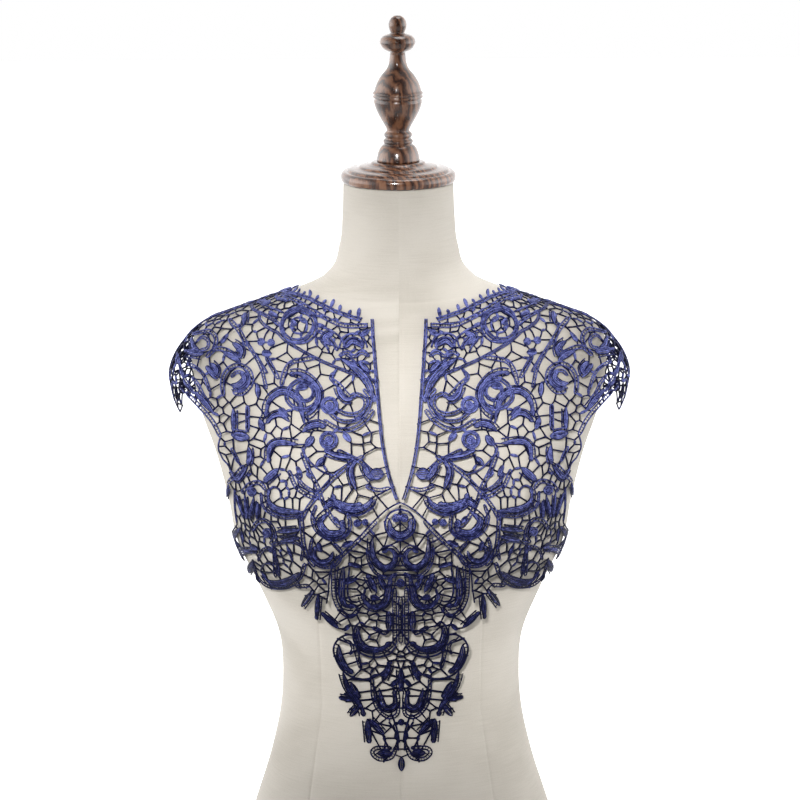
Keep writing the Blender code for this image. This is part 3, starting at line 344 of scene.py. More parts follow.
def sweep(yarn, line, normal, half_width, half_height, sides=6, closed=False, tint=0.5):
    """A tube along line, flattened towards normal, with round ends where it isn't closed. Its colour carries painted
    shade, darker at its edges and darkest underneath, and each ring of stitches differs a little in tone at random."""
    line = np.asarray(line, float)
    count = len(line)
    if closed:
        ahead = np.roll(line, -1, axis=0) - np.roll(line, 1, axis=0)
    else:
        ahead = np.gradient(line, axis=0)
    ahead = unit(ahead)
    side = unit(np.cross(normal, ahead))
    up = np.cross(ahead, side)
    half_width = np.broadcast_to(half_width, count)
    half_height = np.broadcast_to(half_height, count)
    angle = (np.arange(sides) + 0.5) * math.tau / sides
    ring = (
        side[:, None] * (np.cos(angle)[None, :, None] * half_width[:, None, None])
        + up[:, None] * (np.sin(angle)[None, :, None] * half_height[:, None, None])
    )
    points = (line[:, None] + ring).reshape(-1, 3)
    rows = count if closed else count - 1
    i, j = np.meshgrid(np.arange(rows), np.arange(sides), indexing="ij")
    after, beside = (i + 1) % count, (j + 1) % sides
    faces = np.stack([i * sides + j, after * sides + j, after * sides + beside, i * sides + beside], axis=-1)
    faces = faces.reshape(-1, 4)[:, ::-1]
    length = length_along(line)
    length = np.append(length, length[-1] + np.linalg.norm(line[0] - line[-1]))
    around = math.tau * float(half_width.mean())
    u = np.stack([length[i], length[i + 1], length[i + 1], length[i]], axis=-1)
    v = np.stack([j, j, j + 1, j + 1], axis=-1) / sides * around
    uv = np.stack([u, v], axis=-1).reshape(-1, 4, 2)[:, ::-1].reshape(-1, 2)
    laid.append((line, half_width, yarn))
    # Painted shade: each ring is lightest on its outer face and darker down its sides and underneath.
    tints = tint + PAINTED_UNDERSIDE_SHADE * (np.sin(angle)[None, :] - EDGE_START)
    tints = (tints + stitch_luck.normal(0, STITCH_SHADE, (count, 1))).ravel()
    if closed:
        yarn.add(points, faces, uv, tints)
        return
    # Each end is closed by a middle point a little further out, with quads that share it.
    caps, cap_faces, cap_uv = [], [], []
    for end, sign in ((0, -1), (count - 1, 1)):
        middle = line[end] + sign * ahead[end] * min(half_width[end], half_height[end]) * 0.8
        caps.append(middle)
        index = len(points) + len(caps) - 1
        for k in range(0, sides, 2):
            a, b, c = end * sides + k, end * sides + (k + 1) % sides, end * sides + (k + 2) % sides
            cap_faces.append((a, b, c, index) if sign > 0 else (c, b, a, index))
            cap_uv += [(length[end], 0.0)] * 4
    yarn.add(
        np.vstack([points, caps]),
        np.vstack([faces, cap_faces]),
        np.vstack([uv, cap_uv]),
        np.append(tints, [tint, tint]),
    )


def curve_through(points, spacing, closed=False):
    """A smooth curve through rows of numbers, sampled at even spacing in the same units."""
    points = np.asarray(points, float)
    if len(points) == 2:
        count = max(2, int(np.linalg.norm(points[1] - points[0]) / spacing) + 2)
        return points[0] + (points[1] - points[0]) * np.linspace(0, 1, count)[:, None]
    if closed:
        padded = np.vstack([points[-1:], points, points[:2]])
    else:
        padded = np.vstack([2 * points[0] - points[1], points, 2 * points[-1] - points[-2]])
    found = []
    for a, b, c, d in zip(padded, padded[1:], padded[2:], padded[3:]):
        f = np.linspace(0, 1, 12, endpoint=False)[:, None]
        square, cube = 2 * a - 5 * b + 4 * c - d, 3 * b - 3 * c + d - a
        found.append(0.5 * (2 * b + (c - a) * f + square * f**2 + cube * f**3))
    found = np.vstack(found + [padded[-2:-1]])
    length = length_along(found)
    count = max(3, int(length[-1] / spacing) + 1)
    at = np.linspace(0, length[-1], count + 1 if closed else count)
    even = np.stack([np.interp(at, length, column) for column in found.T], axis=-1)
    return even[:-1] if closed else even


def on_lace(places, lift=0.0):
    """(points, normals) of the lace at each (turn, height), lifted."""
    places = np.asarray(places, float)
    points = lace_point(places[:, 0], places[:, 1])
    normals = normal_of(lace_point, places[:, 0], places[:, 1])
    return points + normals * lift, normals


def shifted(points, normals, distance):
    """A line laid on the lace, moved sideways by distance to its left."""
    left = unit(np.cross(normals, np.gradient(points, axis=0)))
    return points + left * np.reshape(distance, (-1, 1))


print("points along a trial curve:", len(curve_through([(0, 0), (5, 5), (10, 0)], 1.0)))

# %% [markdown]
# ## Materials
#
# Embroidery thread is bright, fine rayon. Wound side by side over a cord it catches the light in a soft band that
# breaks up where the twist turns, so the thread material has stripes across each cord in its bump, small changes of
# blue from stitch to stitch, and a sheen. The linen cover is a plain weave with uneven yarns. The wood is walnut,
# turned and varnished.

# %% node helpers


def fill_in(tree, node, inputs):
    """Sets a node's inputs, each to a number, a colour or another node's output."""
    for key, value in inputs.items():
        if isinstance(value, bpy.types.NodeSocket):
            tree.links.new(value, node.inputs[key])
        else:
            node.inputs[key].default_value = value


def adders(tree):
    """Helpers that add a node of any kind, a sum or a noise to a tree."""

    def add(kind, inputs=None, **settings):
        node = tree.nodes.new("ShaderNode" + kind)
        for key, value in settings.items():
            setattr(node, key, value)
        fill_in(tree, node, inputs or {})
        return node

    def maths(operation, *values):
        return add("Math", dict(enumerate(values)), operation=operation).outputs[0]

    def noise(vector, scale, detail):
        return add("TexNoise", {"Vector": vector, "Scale": scale, "Detail": detail}).outputs

    return add, maths, noise


def shader_of(name):
    """Helpers for a new material: the three that add nodes, and one that fills in its shader and returns it."""
    material = bpy.data.materials.new(name)
    material.use_nodes = True

    def finish(inputs):
        fill_in(material.node_tree, material.node_tree.nodes["Principled BSDF"], inputs)
        return material

    return *adders(material.node_tree), finish


def ramp(add, value, stops):
    """A value's colour, by stops of (place, colour)."""
    node = add("ValToRGB", {0: value})
    elements = node.color_ramp.elements
    while len(elements) > 1:
        elements.remove(elements[-1])
    elements[0].position, elements[0].color = stops[0][0], (*stops[0][1], 1)
    for place, colour in stops[1:]:
        elements.new(place).color = (*colour, 1)
    return node.outputs[0]


print("node helpers:", [helper.__name__ for helper in (fill_in, adders, shader_of, ramp)])

# %% the thread
THREAD_PITCH = 0.0011  # one stitch, along the thread
THREAD_SLANT = 2.4  # how many stitches long one turn of the twist is
DYE = ((0.12, (0.0009, 0.0011, 0.012)), (0.5, (0.021, 0.024, 0.112)), (0.95, (0.19, 0.215, 0.53)))
# Painted shade by height: where it starts and ends, how dark it is low down and how light high up.
PAINTED_SHADE_FROM, PAINTED_SHADE_TO, PAINTED_SHADE_DEEPEST, PAINTED_LIGHT_TOP = 0.27, 0.5, -0.5, 0.06


def thread_material():
    """Stitches side by side, in uneven dye, with painted shade towards the point and in the grooves between stitches.
    """
    add, maths, noise, finish = shader_of("satin_thread")
    parts = add("SeparateXYZ", {0: add("UVMap", uv_map="thread").outputs[0]}).outputs
    along = maths("MULTIPLY", parts[0], math.tau / THREAD_PITCH)
    slant = maths("MULTIPLY", parts[1], math.tau / (THREAD_PITCH * THREAD_SLANT))
    solid = add("TexCoord").outputs["Object"]
    wobble = maths("MULTIPLY", noise(solid, 700.0, 2.0)["Fac"], 5.0)
    stitch = maths("SINE", maths("ADD", maths("ADD", along, slant), wobble))
    height = maths("MULTIPLY_ADD", stitch, 0.5, 0.5)
    shade = maths("MULTIPLY_ADD", noise(solid, 260.0, 3.0)["Fac"], 1.1, -0.57)
    shade = maths("ADD", shade, add("Attribute", attribute_name="tint").outputs["Fac"])
    # Painted shade and highlight: each stitch is lighter on its crest and darker in the groove beside it, following its
    # bump.
    shade = maths("ADD", shade, maths("MULTIPLY_ADD", height, 0.6, -0.32))
    # Painted shade: the colour is darker low on the lace, towards the point, and a little lighter high up, as the light
    # falls from above.
    upright = add("SeparateXYZ", {0: solid}).outputs[2]
    limits = {0: upright, 1: PAINTED_SHADE_FROM, 2: PAINTED_SHADE_TO, 3: PAINTED_SHADE_DEEPEST, 4: PAINTED_LIGHT_TOP}
    shade = maths("ADD", shade, add("MapRange", limits, interpolation_type="SMOOTHSTEP").outputs[0])
    bump = add("Bump", {"Height": height, "Strength": 0.75, "Distance": 0.00028})
    looks = {"Base Color": ramp(add, shade, DYE), "Normal": bump.outputs[0], "Roughness": 0.45}
    looks |= {"Specular IOR Level": 0.13, "Specular Tint": (0.55, 0.62, 1.0, 1.0)}
    looks |= {"Sheen Weight": 0.03, "Sheen Roughness": 0.3, "Sheen Tint": (0.4, 0.45, 1.0, 1.0)}
    return finish(looks)


blue_thread = thread_material()
print(blue_thread.name, "made of", len(blue_thread.node_tree.nodes), "nodes")

# %% the linen cover
WEAVE_PITCH = (0.00105, 0.00095)
LINEN_SHADES = ((0.55, (0.4, 0.37, 0.32)), (0.85, (0.49, 0.455, 0.40)), (1.0, (0.55, 0.515, 0.46)))


def linen_material():
    """A plain weave with uneven yarns, a little bent, and long slubs across it."""
    add, maths, noise, finish = shader_of("linen_cover")
    place = add("UVMap", uv_map="thread").outputs[0]
    drift = {0: noise(place, 55.0, 2.0)["Color"], 1: (0.0016, 0.0016, 0.0)}
    shift = add("VectorMath", drift, operation="MULTIPLY").outputs[0]
    bent = add("VectorMath", {0: place, 1: shift}, operation="ADD").outputs[0]
    parts = add("SeparateXYZ", {0: bent}).outputs
    yarns = []
    for axis, pitch in enumerate(WEAVE_PITCH):
        turn = maths("MULTIPLY", parts[axis], math.pi / pitch)
        yarns.append(maths("ABSOLUTE", maths("SINE", turn)))
    stretch = add("Mapping", {"Vector": place, "Scale": (30.0, 900.0, 1.0)}).outputs[0]
    height = maths("ADD", maths("MINIMUM", *yarns), noise(place, 900.0, 3.0)["Fac"])
    height = maths("ADD", height, noise(stretch, 1.0, 2.0)["Fac"])
    # Painted shade and highlight: the colour follows the weave's relief, darker in the gaps between yarns and lighter
    # on their crests; the slubs and broad patches are the linen's own uneven tone.
    shade = maths("ADD", maths("MULTIPLY", height, 0.28), noise(place, 9.0, 3.0)["Fac"])
    bump = add("Bump", {"Height": height, "Strength": 0.35, "Distance": 0.0003})
    looks = {"Base Color": ramp(add, shade, LINEN_SHADES), "Normal": bump.outputs[0], "Roughness": 0.88}
    looks |= {"Specular IOR Level": 0.25, "Sheen Weight": 0.15}
    return finish(looks)


linen = linen_material()
print(linen.name, "made of", len(linen.node_tree.nodes), "nodes")

# %% the walnut
WALNUT_SHADES = ((0.1, (0.024, 0.0095, 0.006)), (0.45, (0.09, 0.036, 0.02)), (0.9, (0.22, 0.1, 0.052)))


def walnut_material():
    """Warped growth rings with fine pores, under varnish."""
    add, maths, noise, finish = shader_of("turned_walnut")
    place = {"Vector": add("TexCoord").outputs["Object"], "Scale": (1.0, 1.0, 0.16)}
    grain = add("Mapping", place).outputs[0]
    warp = {0: noise(grain, 26.0, 3.0)["Color"], 1: (0.02, 0.02, 0.02)}
    swirl = add("VectorMath", warp, operation="MULTIPLY").outputs[0]
    bent = add("VectorMath", {0: grain, 1: swirl}, operation="ADD").outputs[0]
    wave = {"Vector": bent, "Scale": 70.0, "Distortion": 5.0, "Detail": 4.0, "Detail Scale": 2.5}
    rings = add("TexWave", wave, wave_type="BANDS", bands_direction="DIAGONAL").outputs["Fac"]
    pores = noise(grain, 900.0, 2.0)["Fac"]
    shade = maths("ADD", maths("MULTIPLY", rings, 0.7), maths("MULTIPLY", pores, 0.35))
    bump = add("Bump", {"Height": pores, "Strength": 0.12, "Distance": 0.0002})
    looks = {"Base Color": ramp(add, shade, WALNUT_SHADES), "Normal": bump.outputs[0], "Roughness": 0.26}
    looks |= {"Coat Weight": 0.8, "Coat Roughness": 0.12}
    return finish(looks)


walnut = walnut_material()
print("materials:", [m.name for m in (blue_thread, linen, walnut)])

# %% [markdown]
# ## Building the form
#
# The cover of a form is sewn from long panels. Their seams show as narrow grooves: one down each side of the front,
# one down the centre and one round the base of the neck. The mesh is laid out so that a row of points follows each
# seam, and the points there are drawn in by half a millimetre.

# %% the padded form
SIDE_SEAM_AT = np.array(
    ((0.0, 0.093), (0.1, 0.088), (0.2, 0.074), (0.3, 0.076), (0.39, 0.078), (0.48, 0.083), (0.6, 0.082))
)
SEAM_HALF_WIDTH = 0.0011
SEAM_DEPTH = 0.0006
SEAM_TOP = 0.588
NECK_SEAM_HALF_WIDTH = 0.0013
STEPS_BETWEEN_KNOTS = (1, 1, 1, 14, 1, 1, 1, 1, 1, 1, 16, 34)


def seam_turns(height):
    """The turns at which the centre and side seams cross a height."""
    across = np.interp(height, SIDE_SEAM_AT[:, 0], SIDE_SEAM_AT[:, 1])
    tries = np.linspace(0, 1.45, 200)
    x = form_point(tries, np.full(200, height))[:, 0]
    return float(np.interp(min(across, x[-1] * 0.8), x, tries))


def neck_seam_height(turn):
    """The base of the neck: lower in front than behind."""
    return 0.5905 + 0.0075 * (1 - math.cos(turn)) / 2 - 0.006 * math.cos(turn)


def wound_quads(rings, count):
    """Quads between rings of count points each, with the (ring, point) each begins at."""
    i, j = np.meshgrid(np.arange(rings - 1), np.arange(count), indexing="ij")
    k = (j + 1) % count
    corners = [i * count + j, i * count + k, (i + 1) * count + k, (i + 1) * count + j]
    return np.stack(corners, axis=-1).reshape(-1, 4), i, j


def padded_form():
    """The form's cover, open at both ends, with its seams drawn in."""
    heights = np.unique(np.concatenate([np.arange(0, 0.56, 0.006), np.arange(0.56, NECK_TOP, 0.0016), [NECK_TOP]]))
    close = np.array((-2.6, -1.3, -0.6, 0.0, 0.6, 1.3, 2.6)) * SEAM_HALF_WIDTH
    points, seams, uv_rows = [], [], []
    for height in heights:
        side = seam_turns(height)
        around = float(section_at(height)[0]) / 1000
        knots = [close[3:] / around, side + close / around, [math.pi / 2], [math.pi]]
        flat = np.concatenate([np.atleast_1d(k) for k in knots])
        half = [flat[0]]
        for a, b, steps in zip(flat, flat[1:], STEPS_BETWEEN_KNOTS):
            half += [a + (b - a) * k / steps for k in range(1, steps + 1)]
        half = np.array(half)
        turns = np.concatenate([half, 2 * math.pi - half[-2:0:-1]])
        row = form_point(turns, np.full(len(turns), height))
        normal = normal_of(form_point, turns, np.full(len(turns), height))
        x = row[:, 0]
        front = np.cos(turns) > 0
        target = form_point(side, height)[0]
        depth = np.exp(-((x / SEAM_HALF_WIDTH) ** 2)) + np.exp(-(((np.abs(x) - target) / SEAM_HALF_WIDTH) ** 2))
        depth = np.where(front, depth, 0) * (1 if height < SEAM_TOP else 0)
        ring = np.array([neck_seam_height(t) for t in turns])
        depth = np.maximum(depth, np.exp(-(((height - ring) / NECK_SEAM_HALF_WIDTH) ** 2)))
        row = row - normal * (SEAM_DEPTH * depth)[:, None]
        row[:, 2] = np.clip(row[:, 2], 0, NECK_TOP)
        points.append(row)
        seams.append(depth)
    points = np.array(points)
    rings, count = points.shape[:2]
    step = np.linalg.norm(np.roll(points, -1, axis=1) - points, axis=2)
    across = np.concatenate([np.zeros((rings, 1)), np.cumsum(step, axis=1)], axis=1)
    up = np.concatenate([[0], np.cumsum(np.linalg.norm(np.diff(points, axis=0), axis=2).mean(axis=1))])
    faces, i, j = wound_quads(rings, count)
    u = np.stack([across[i, j], across[i, j + 1], across[i + 1, j + 1], across[i + 1, j]], axis=-1)
    v = np.stack([up[i], up[i], up[i + 1], up[i + 1]], axis=-1)
    uv = np.stack([u, v], axis=-1).reshape(-1, 2)
    return mesh_object("padded_form", points.reshape(-1, 3), faces, linen, uv, np.array(seams).ravel())


form = padded_form()
print("form:", len(form.data.polygons), "faces")


def close_form():
    """The flat underside and the flat neck, joined to the form's own mesh."""
    shape = bmesh.new()
    shape.from_mesh(form.data)
    edges = [edge for edge in shape.edges if edge.is_boundary]
    bmesh.ops.holes_fill(shape, edges=edges, sides=0)
    bmesh.ops.recalc_face_normals(shape, faces=shape.faces)
    for face in shape.faces:
        if len(face.verts) > 4:
            face.smooth = False
    bmesh.ops.triangulate(shape, faces=[face for face in shape.faces if len(face.verts) > 4])
    shape.to_mesh(form.data)
    shape.free()


close_form()
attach(form, "root")
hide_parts("dress_form")

# %% [markdown]
# ## Turned wood
#
# The cap and the finial come off a lathe, so each is a profile turned about one axis. The profile is drawn at twice
# the detail of the solid, with its beads and fillets rounded.

# %% the cap and the finial
NECK_AXIS = -0.014
CAP_PROFILE = table(
    """
    49,688.3 51,688.5 52.1,689.6 52.5,691.4 52.5,693.2 52.1,695.2 51.2,696.7 49.6,697.8 48.2,698.1 47.2,698
    46.4,698.3 46.1,699.3 45.4,699.9 41,700.5 36.6,701.1 35.8,701.5 35.5,702.3 34.6,702.8 30,703.6 25.6,704.5
    24.7,705 24.2,705.9 23,706.5 21,706.8
    """
)
FINIAL_PROFILE = table(
    """
    19.2,707.1 19.6,707.6 19.7,708.8 19.2,711 18.4,714.8 16.9,718.4 14.8,721.2 12.9,722.2 12.4,722.7 13.2,723.4
    13.8,724.7 13.5,726 12.5,726.9 11.7,727.5 11.8,728.4 12.7,729.4 13,730.7 12.6,732.3 11.2,733.6 10.4,734.5
    10.6,735.8 11.6,738 13.4,741.2 15.5,744.7 17.6,748.5 19.6,752.6 21.1,756.6 22,760.4 22,762.4 21.2,763.4
    21.7,764.2 22.8,765 22.9,765.9 22.2,766.8 22.1,767.5 22.9,768.3 22.9,769.4 21.9,770.4 21.2,771.5 20.5,774.4
    19,778.4 16.8,782.4 14.2,786.1 11.2,789.4 9.2,792.4 8.1,796 7.4,800 7,803.6 7.1,805.6 9.6,806.6 12.6,808.2
    15,811 16.2,814.4 15.4,817.8 12.9,820.4 9.4,821.8 6.6,822.4 6.3,823.2 7.2,825.2 8.1,828 8.2,830.6 7.5,833.6
    5.8,836.4 3.2,838.3
    """
)


def turned(name, profile, segments, replaced):
    """A closed profile of (radius, height) in millimetres, turned about the neck's axis."""
    rows = profile / 1000
    turns = np.arange(segments) * math.tau / segments
    points = np.zeros((len(rows), segments, 3))
    points[..., :2] = np.stack([np.sin(turns), -np.cos(turns)], axis=-1) * rows[:, :1, None]
    points[..., 1] += NECK_AXIS
    points[..., 2] = rows[:, 1:]
    middles = [(0, NECK_AXIS, rows[0, 1]), (0, NECK_AXIS, rows[-1, 1] + 0.0004)]
    points = np.vstack([points.reshape(-1, 3), middles])
    faces = [wound_quads(len(rows), segments)[0]]
    low, high = len(points) - 2, len(points) - 1
    last = (len(rows) - 1) * segments
    two = np.arange(0, segments, 2)
    following, after = (two + 1) % segments, (two + 2) % segments
    faces.append(np.stack([after, following, two, np.full(len(two), low)], axis=-1))
    faces.append(np.stack([last + two, last + following, last + after, np.full(len(two), high)], axis=-1))
    obj = mesh_object(name, points, np.vstack(faces), walnut)
    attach(obj, "root")
    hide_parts(replaced)
    print(name, len(obj.data.polygons), "faces")


turned("turned_cap", CAP_PROFILE, 128, "neck_cap")
turned("turned_finial", FINIAL_PROFILE, 72, "finial")

# %% [markdown]
# ## The scrolls
#
# The pattern is one half of the front, repeated in mirror image. Each row below is one scroll, leaf or cord: its half
# width in squares of the draft and the squares it runs through. Wide ones are padded satin, middling ones are a pair of
# cords with a ladder between them, and the narrowest are single cords.

# %% the draft's scrolls


def strokes_of(draft):
    """(half width, squares) of each row of a draft."""
    rows = [row.split(maxsplit=1) for row in draft.strip().splitlines() if not row.startswith("#")]
    return [(float(width), table(squares)) for width, squares in rows]


MOTIFS = strokes_of(
    """
# neck edge, neck band and slit
2.4  32,325 56,325 80,314 101,301 118,293
3  54,347 46,341 36,347
4  66,345 74,338 66,332
2.5  85,325 90,314 103,310 115,318 117,330 108,339 94,338 85,325
3.5  103,325 108,320
1.5  118,325 113,312 100,307 87,312 82,325 87,338 100,343 113,338 118,325
1.5  108,325 106,319 100,317 94,319 92,325 94,331 100,333 106,331 108,325
1.5  56,347 53,340 46,337 39,340 36,347
1.5  60,347 56,337 46,333 36,337 32,347
2  82,330 74,334 66,342 62,350
1.5  84,336 75,342 70,352
1.5  80,326 68,330 58,338 55,345
2  60,355 52,352 45,356 38,352 30,356
3  40,362 30,372
3  52,362 42,366
3.5  38,335 30,330
2  118,325 128,318 140,311
1.5  116,312 128,307 142,301
3  122,316 130,311
3  112,300 122,298
3  130,303 138,300
4.5  58,358 42,370 31,384 25,402
2.5  65,372 68,378 60,385 50,396 44,393
# upper front
9  70,405 70,405.5
2.6  76,420 60,429 46,428 34,420 26,410
2.2  62,409 55,413 46,414 38,411 34,404 36,397 44,393
2.2  70,413 60,420 48,421 38,416 31,407 30,397 36,389
3  62,385 59,393 53,399 47,398
9.5  71,440 71,440.5
2.4  62,450 50,456 40,461 30,470
7  30,474 16,474
2.2  34,486 22,490 10,488
3  44,460 49,472 44,490
2.6  61,508 46,514 32,509 25,501
3.5  66,500 52,506 38,504
2.4  98,452 91,470 82,487 77,502 68,518 60,527
2.4  36,456 49,463 66,477 80,492 92,507 99,520
2.4  111,470 104,486 92,495 82,498
4.5  86,436 94,446
3  76,457 84,466
4  56,433 49,441
2.5  112,392 106,383 96,379 84,386 82,398 90,408 103,408 112,400 112,392
3  102,388 92,387
2.6  118,385 115,372 108,362 96,359 84,357
3.5  110,374 101,373 92,377 85,384 81,392 82,402 88,411 95,416
2  101,386 95,383 88,386 86,393 90,399 97,400 102,394 101,386
3.8  133,416 132,405 127,396 118,391 109,393 101,400 98,410 95,424
3  133,422 126,415 118,414 110,421
3  75,450 66,454 56,456 45,458
3.5  97,432 92,427 82,424 75,427
1.5  97,452 88,463 78,471 67,475
3.5  37,462 33,472 27,480
3.5  68,494 63,504 52,509 40,509 31,503 27,496
2  104,474 98,483 90,489 81,492
3  103,466 98,476
3  93,472 88,478
4.5  120,408 112,416
5.5  168,434 150,437
3.5  151,446 150,455 152,464
3.5  140,418 136,430
3.5  131,462 130,448 121,442 101,444
4.5  136,481 121,468
3.5  131,488 131,500 121,509 96,512
2  139,492 137,505 128,513 116,517 101,516
2.6  99,512 97,540 93,556 86,566
3  123,531 101,529
3  120,541 101,537
2.6  158,492 151,484 141,482 134,489
3  163,494 156,518
3  155,494 153,518
3  146,497 150,518
2.5  168,447 161,462
2.5  172,482 156,465
2.5  152,405 152,430
3  166,408 166,430
# side, shoulder and wing
5  212,350 196,353
2.5  206,333 190,330 183,338 186,350
2.6  193,356 183,348 171,350 161,359
2.5  176,395 177,380 172,369 161,364 150,370 148,382 156,392 166,392
3.5  158,371 155,378 161,384 169,384
2.6  213,391 201,404 188,419 179,436
3  193,365 183,378
2  153,340 139,365 133,388
2.5  133,356 121,378
2.6  170,318 160,330 152,345
2  222,352 217,372 206,392
3.5  167,342 162,345 158,350 160,357
3  178,342 171,333
3  154,312 155,324
4  138,341 138,341.5
4  128,342 128,342.5
4.5  137,352 128,353
1.5  142,355 132,372
3  142,383 141,397
3.5  189,362 183,369 186,376
3  208,337 205,346 199,350
2  202,340 197,336 191,340 192,347 199,349
3.5  176,351 166,356 159,362
2  212,362 204,366 197,372 193,380 190,390
2  207,376 201,384 196,394 190,402
3.5  204,391 195,401 186,412
2  168,376 162,371 154,374 152,382 158,388 166,387
# hem
2.6  147,562 143,575 135,584 123,587 110,585 100,576 95,563
5  138,572 131,581 120,583 109,579 101,572
1.5  140,570 135,563 128,564 124,572
2  142,560 139,551 132,547 126,551 123,562 121,575
2.5  148,530 143,522 134,520 127,527 125,537 130,543
5  133,532 133,532.5
3  171,484 173,496
2  165,488 165,505 163,522
4  160,527 166,535 171,543
3.5  164,541 165,558
4  166,556 156,551 146,551
4  147,560 152,571
3.5  158,530 157,542
4  150,545 142,548
3  142,502 143,518
5  148,491 148,491.5
1.5  131,490 126,486 120,490 119,498
3  170,468 163,478 157,472 152,465
2  84,505 88,518 83,531 70,539 57,537 50,527 52,513
3.5  76,508 68,503 59,506
3  67,517 61,523
2  88,538 90,550 86,562 75,567 63,563 59,552 66,543
3  82,542 79,551
2.6  126,545 125,576
3  113,545 108,557
2  99,560 98,547 110,541 128,544
2.5  165,540 156,549 143,551
3  84,546 86,554 80,561 71,559 67,551
4.5  71,512 80,522 72,533 58,531 58,520
3  99,606 87,590
2.5  104,586 91,585
3  82,594 84,619
# lower point
2.6  24,521 40,538 55,552 66,563 67,580 66,597 60,610 50,616 41,608
4  57,566 59,590 56,604 46,606
3.5  79,612 62,628
3  52,563 38,567
3.5  58,546 48,541
4  43,523 43,523.5
3.5  35,522 35,522.5
1.5  51,568 53,590 50,600 44,602
3  22,575 15,590
4  30,596 21,599
3  57,630 50,624
3  57,583 43,578
3.4  28,536 28,550 25,560 16,567 7,563 5,555 10,549 18,552
2  33,548 31,562 24,573 12,578 4,573
4  9,574 12,590 16,602 25,607 34,603 38,594
3.5  33,574 24,592
2.6  6,588 6,645
3.5  12,611 12,632
2.5  28,627 14,634
4.2  43,626 42,640 34,648 20,649 10,642
1.5  47,640 41,652 27,657 12,654 5,646
1.5  47,640 46,628 40,622 34,627
1.6  45,635 56,635 65,642 67,652 61,665 52,675 36,679 21,674 9,662
4.2  62,645 61,656 56,666 48,673
2  55,640 50,643 48,649 51,654
2.5  45,650 40,668
3.4  58,672 54,685 47,696 40,707 37,716
3  50,682 46,690 41,697
3  62,697 45,700
3.2  51,716 42,705
2.2  29,678 28,696 23,709 13,717 4,714 3,702
3.2  22,688 18,704 12,708 6,703 7,690
3.6  34,719 32,743
3.6  32,719 18,734
1.5  18,738 14,745 12,750
1.5  8,718 4,730 2,742
1.6  12,722 5,734 3,750
2.4  5,746 10,757 22,759 29,753 25,748 10,748
4  24,753 10,753
3.6  11,663 18,680
3  10,686 3,679
"""
)
# The same on the centre front line.
CENTRE_MOTIFS = strokes_of(
    """
1.5  0,509 10,513 15,523 11,534 0,540 -11,534 -15,523 -10,513 0,509
4  -11,519 -9,530 0,535 9,530 11,519
4.5  -4,518 -4,518.5
4.5  4,518 4,518.5
4.5  0,583 0,583.5
3.5  0,722 0,722.5
3.5  0,668 0,676 0,690
3.5  0,757 0,771
2.6  0,597 0,643
"""
)
print("strokes drafted:", len(MOTIFS), "and", len(CENTRE_MOTIFS))

# %% [markdown]
# ## The edges
#
# The collar is made in five pieces: a band round the neck, two fronts, a long centre point and a back yoke. Their
# seams and hems are kept as lines of (turn, height), so the seams run on from one piece to the next. The wide gaps are
# where the pattern is left open, and they come first when the net is laid out.

# %% seams and hems
SLIT_EDGE_OF_BAND = ((25, 319), (24, 340), (22.5, 360))
SLIT_BAND_CORNER = (21, 381)
SLIT_EDGE_OF_FRONT = ((19.5, 400), (17.5, 425), (14.5, 450), (10, 472), (5, 489), (1.5, 499))
NECK_EDGE = ((38, 317), (56, 311), (74, 303), (88, 296), (99, 292), (108, 291))
BAND_SEAM = (SLIT_BAND_CORNER, (31, 379), (45, 374), (63, 367), (81, 359), (101, 348), (121, 332), (139, 312))
BAND_SEAM += ((147, 304),)
POINT_SEAM = table(
    """
    0,503.5 0.6,503.8 6,506 14,511 24,520 40,537 55,551 66,561 70,575 71,590 73,603
    """
)
SIDE_EDGE = table(
    """
    219,388 212,396 201,407 189,421 180,436 182,449 177,459 172,464 169,478 172,494 167,497 165,524 170,543 166,556
    153,555 149,560 153,572 146,570 144,579 138,585 126,590 112,589 105,584 104,590 95,591 101,606 96,610 89,597
    87,620 81,621 79,611
    """
)
POINT_EDGE = table(
    """
    72,619 64,630 57,633 66,639 70,652 64,665 61,676 55,691 64,693 64,700 50,703 54,714 49,720 42,715 38,722 37,743
    32,747 31,756 25,762 14,764 6,760 4,769 0,773
    """
)
SHOULDER = math.radians(90)
NECK_AT_BACK = 0.576
BAND_AT_BACK = 0.555
# The hem of the back, by degrees of turn.
BACK_HEM = table(
    """
    90,0.481 95,0.466 101,0.468 106,0.481 113,0.47 120,0.474 127,0.484 134,0.473 141,0.472 148,0.481 155,0.47
    162,0.469 168,0.477 174,0.468 180,0.465
    """
)

# The widest gaps of the front, each left whole: (squares out, row, squares kept clear around its middle).
WIDE_GAPS = table(
    """
    21,528,11 24,543,7 111,523,11 74,381,9 87,371,8 66,462,10 117,451,10 103,559,10 116,567,9 132,556,8 31,513,7
    37,617,8 26,617,7 50,659,8 36,686,8 6,547,6 137,403,7 148,398,8 119,378,8 118,350,8 161,445,8 143,451,8
    152,470,7 177,418,7 188,383,8 205,372,8 167,336,8 27,455,8 41,440,7 85,415,6 100,424,7 39,500,6 57,477,8
    """
)
GAP_SPACING = 0.0064
LOW_SPACING = 0.005  # the net closes up below the bust
LOW_NET_TOP, NET_BLEND = 0.36, 0.07
GAP_SEED = 7
GAP_TRIES = 32000
AXIS_TRIES = 600
NET_FOOT, NET_SPAN = (0, 0.145), (math.pi, 0.46)
EDGE_MARGIN = 0.0016
RIM_ROOM = 0.0018
MOTIF_MARGIN = 0.0006
EDGE_STEP = 0.016
SEAM_GAP = 0.0003


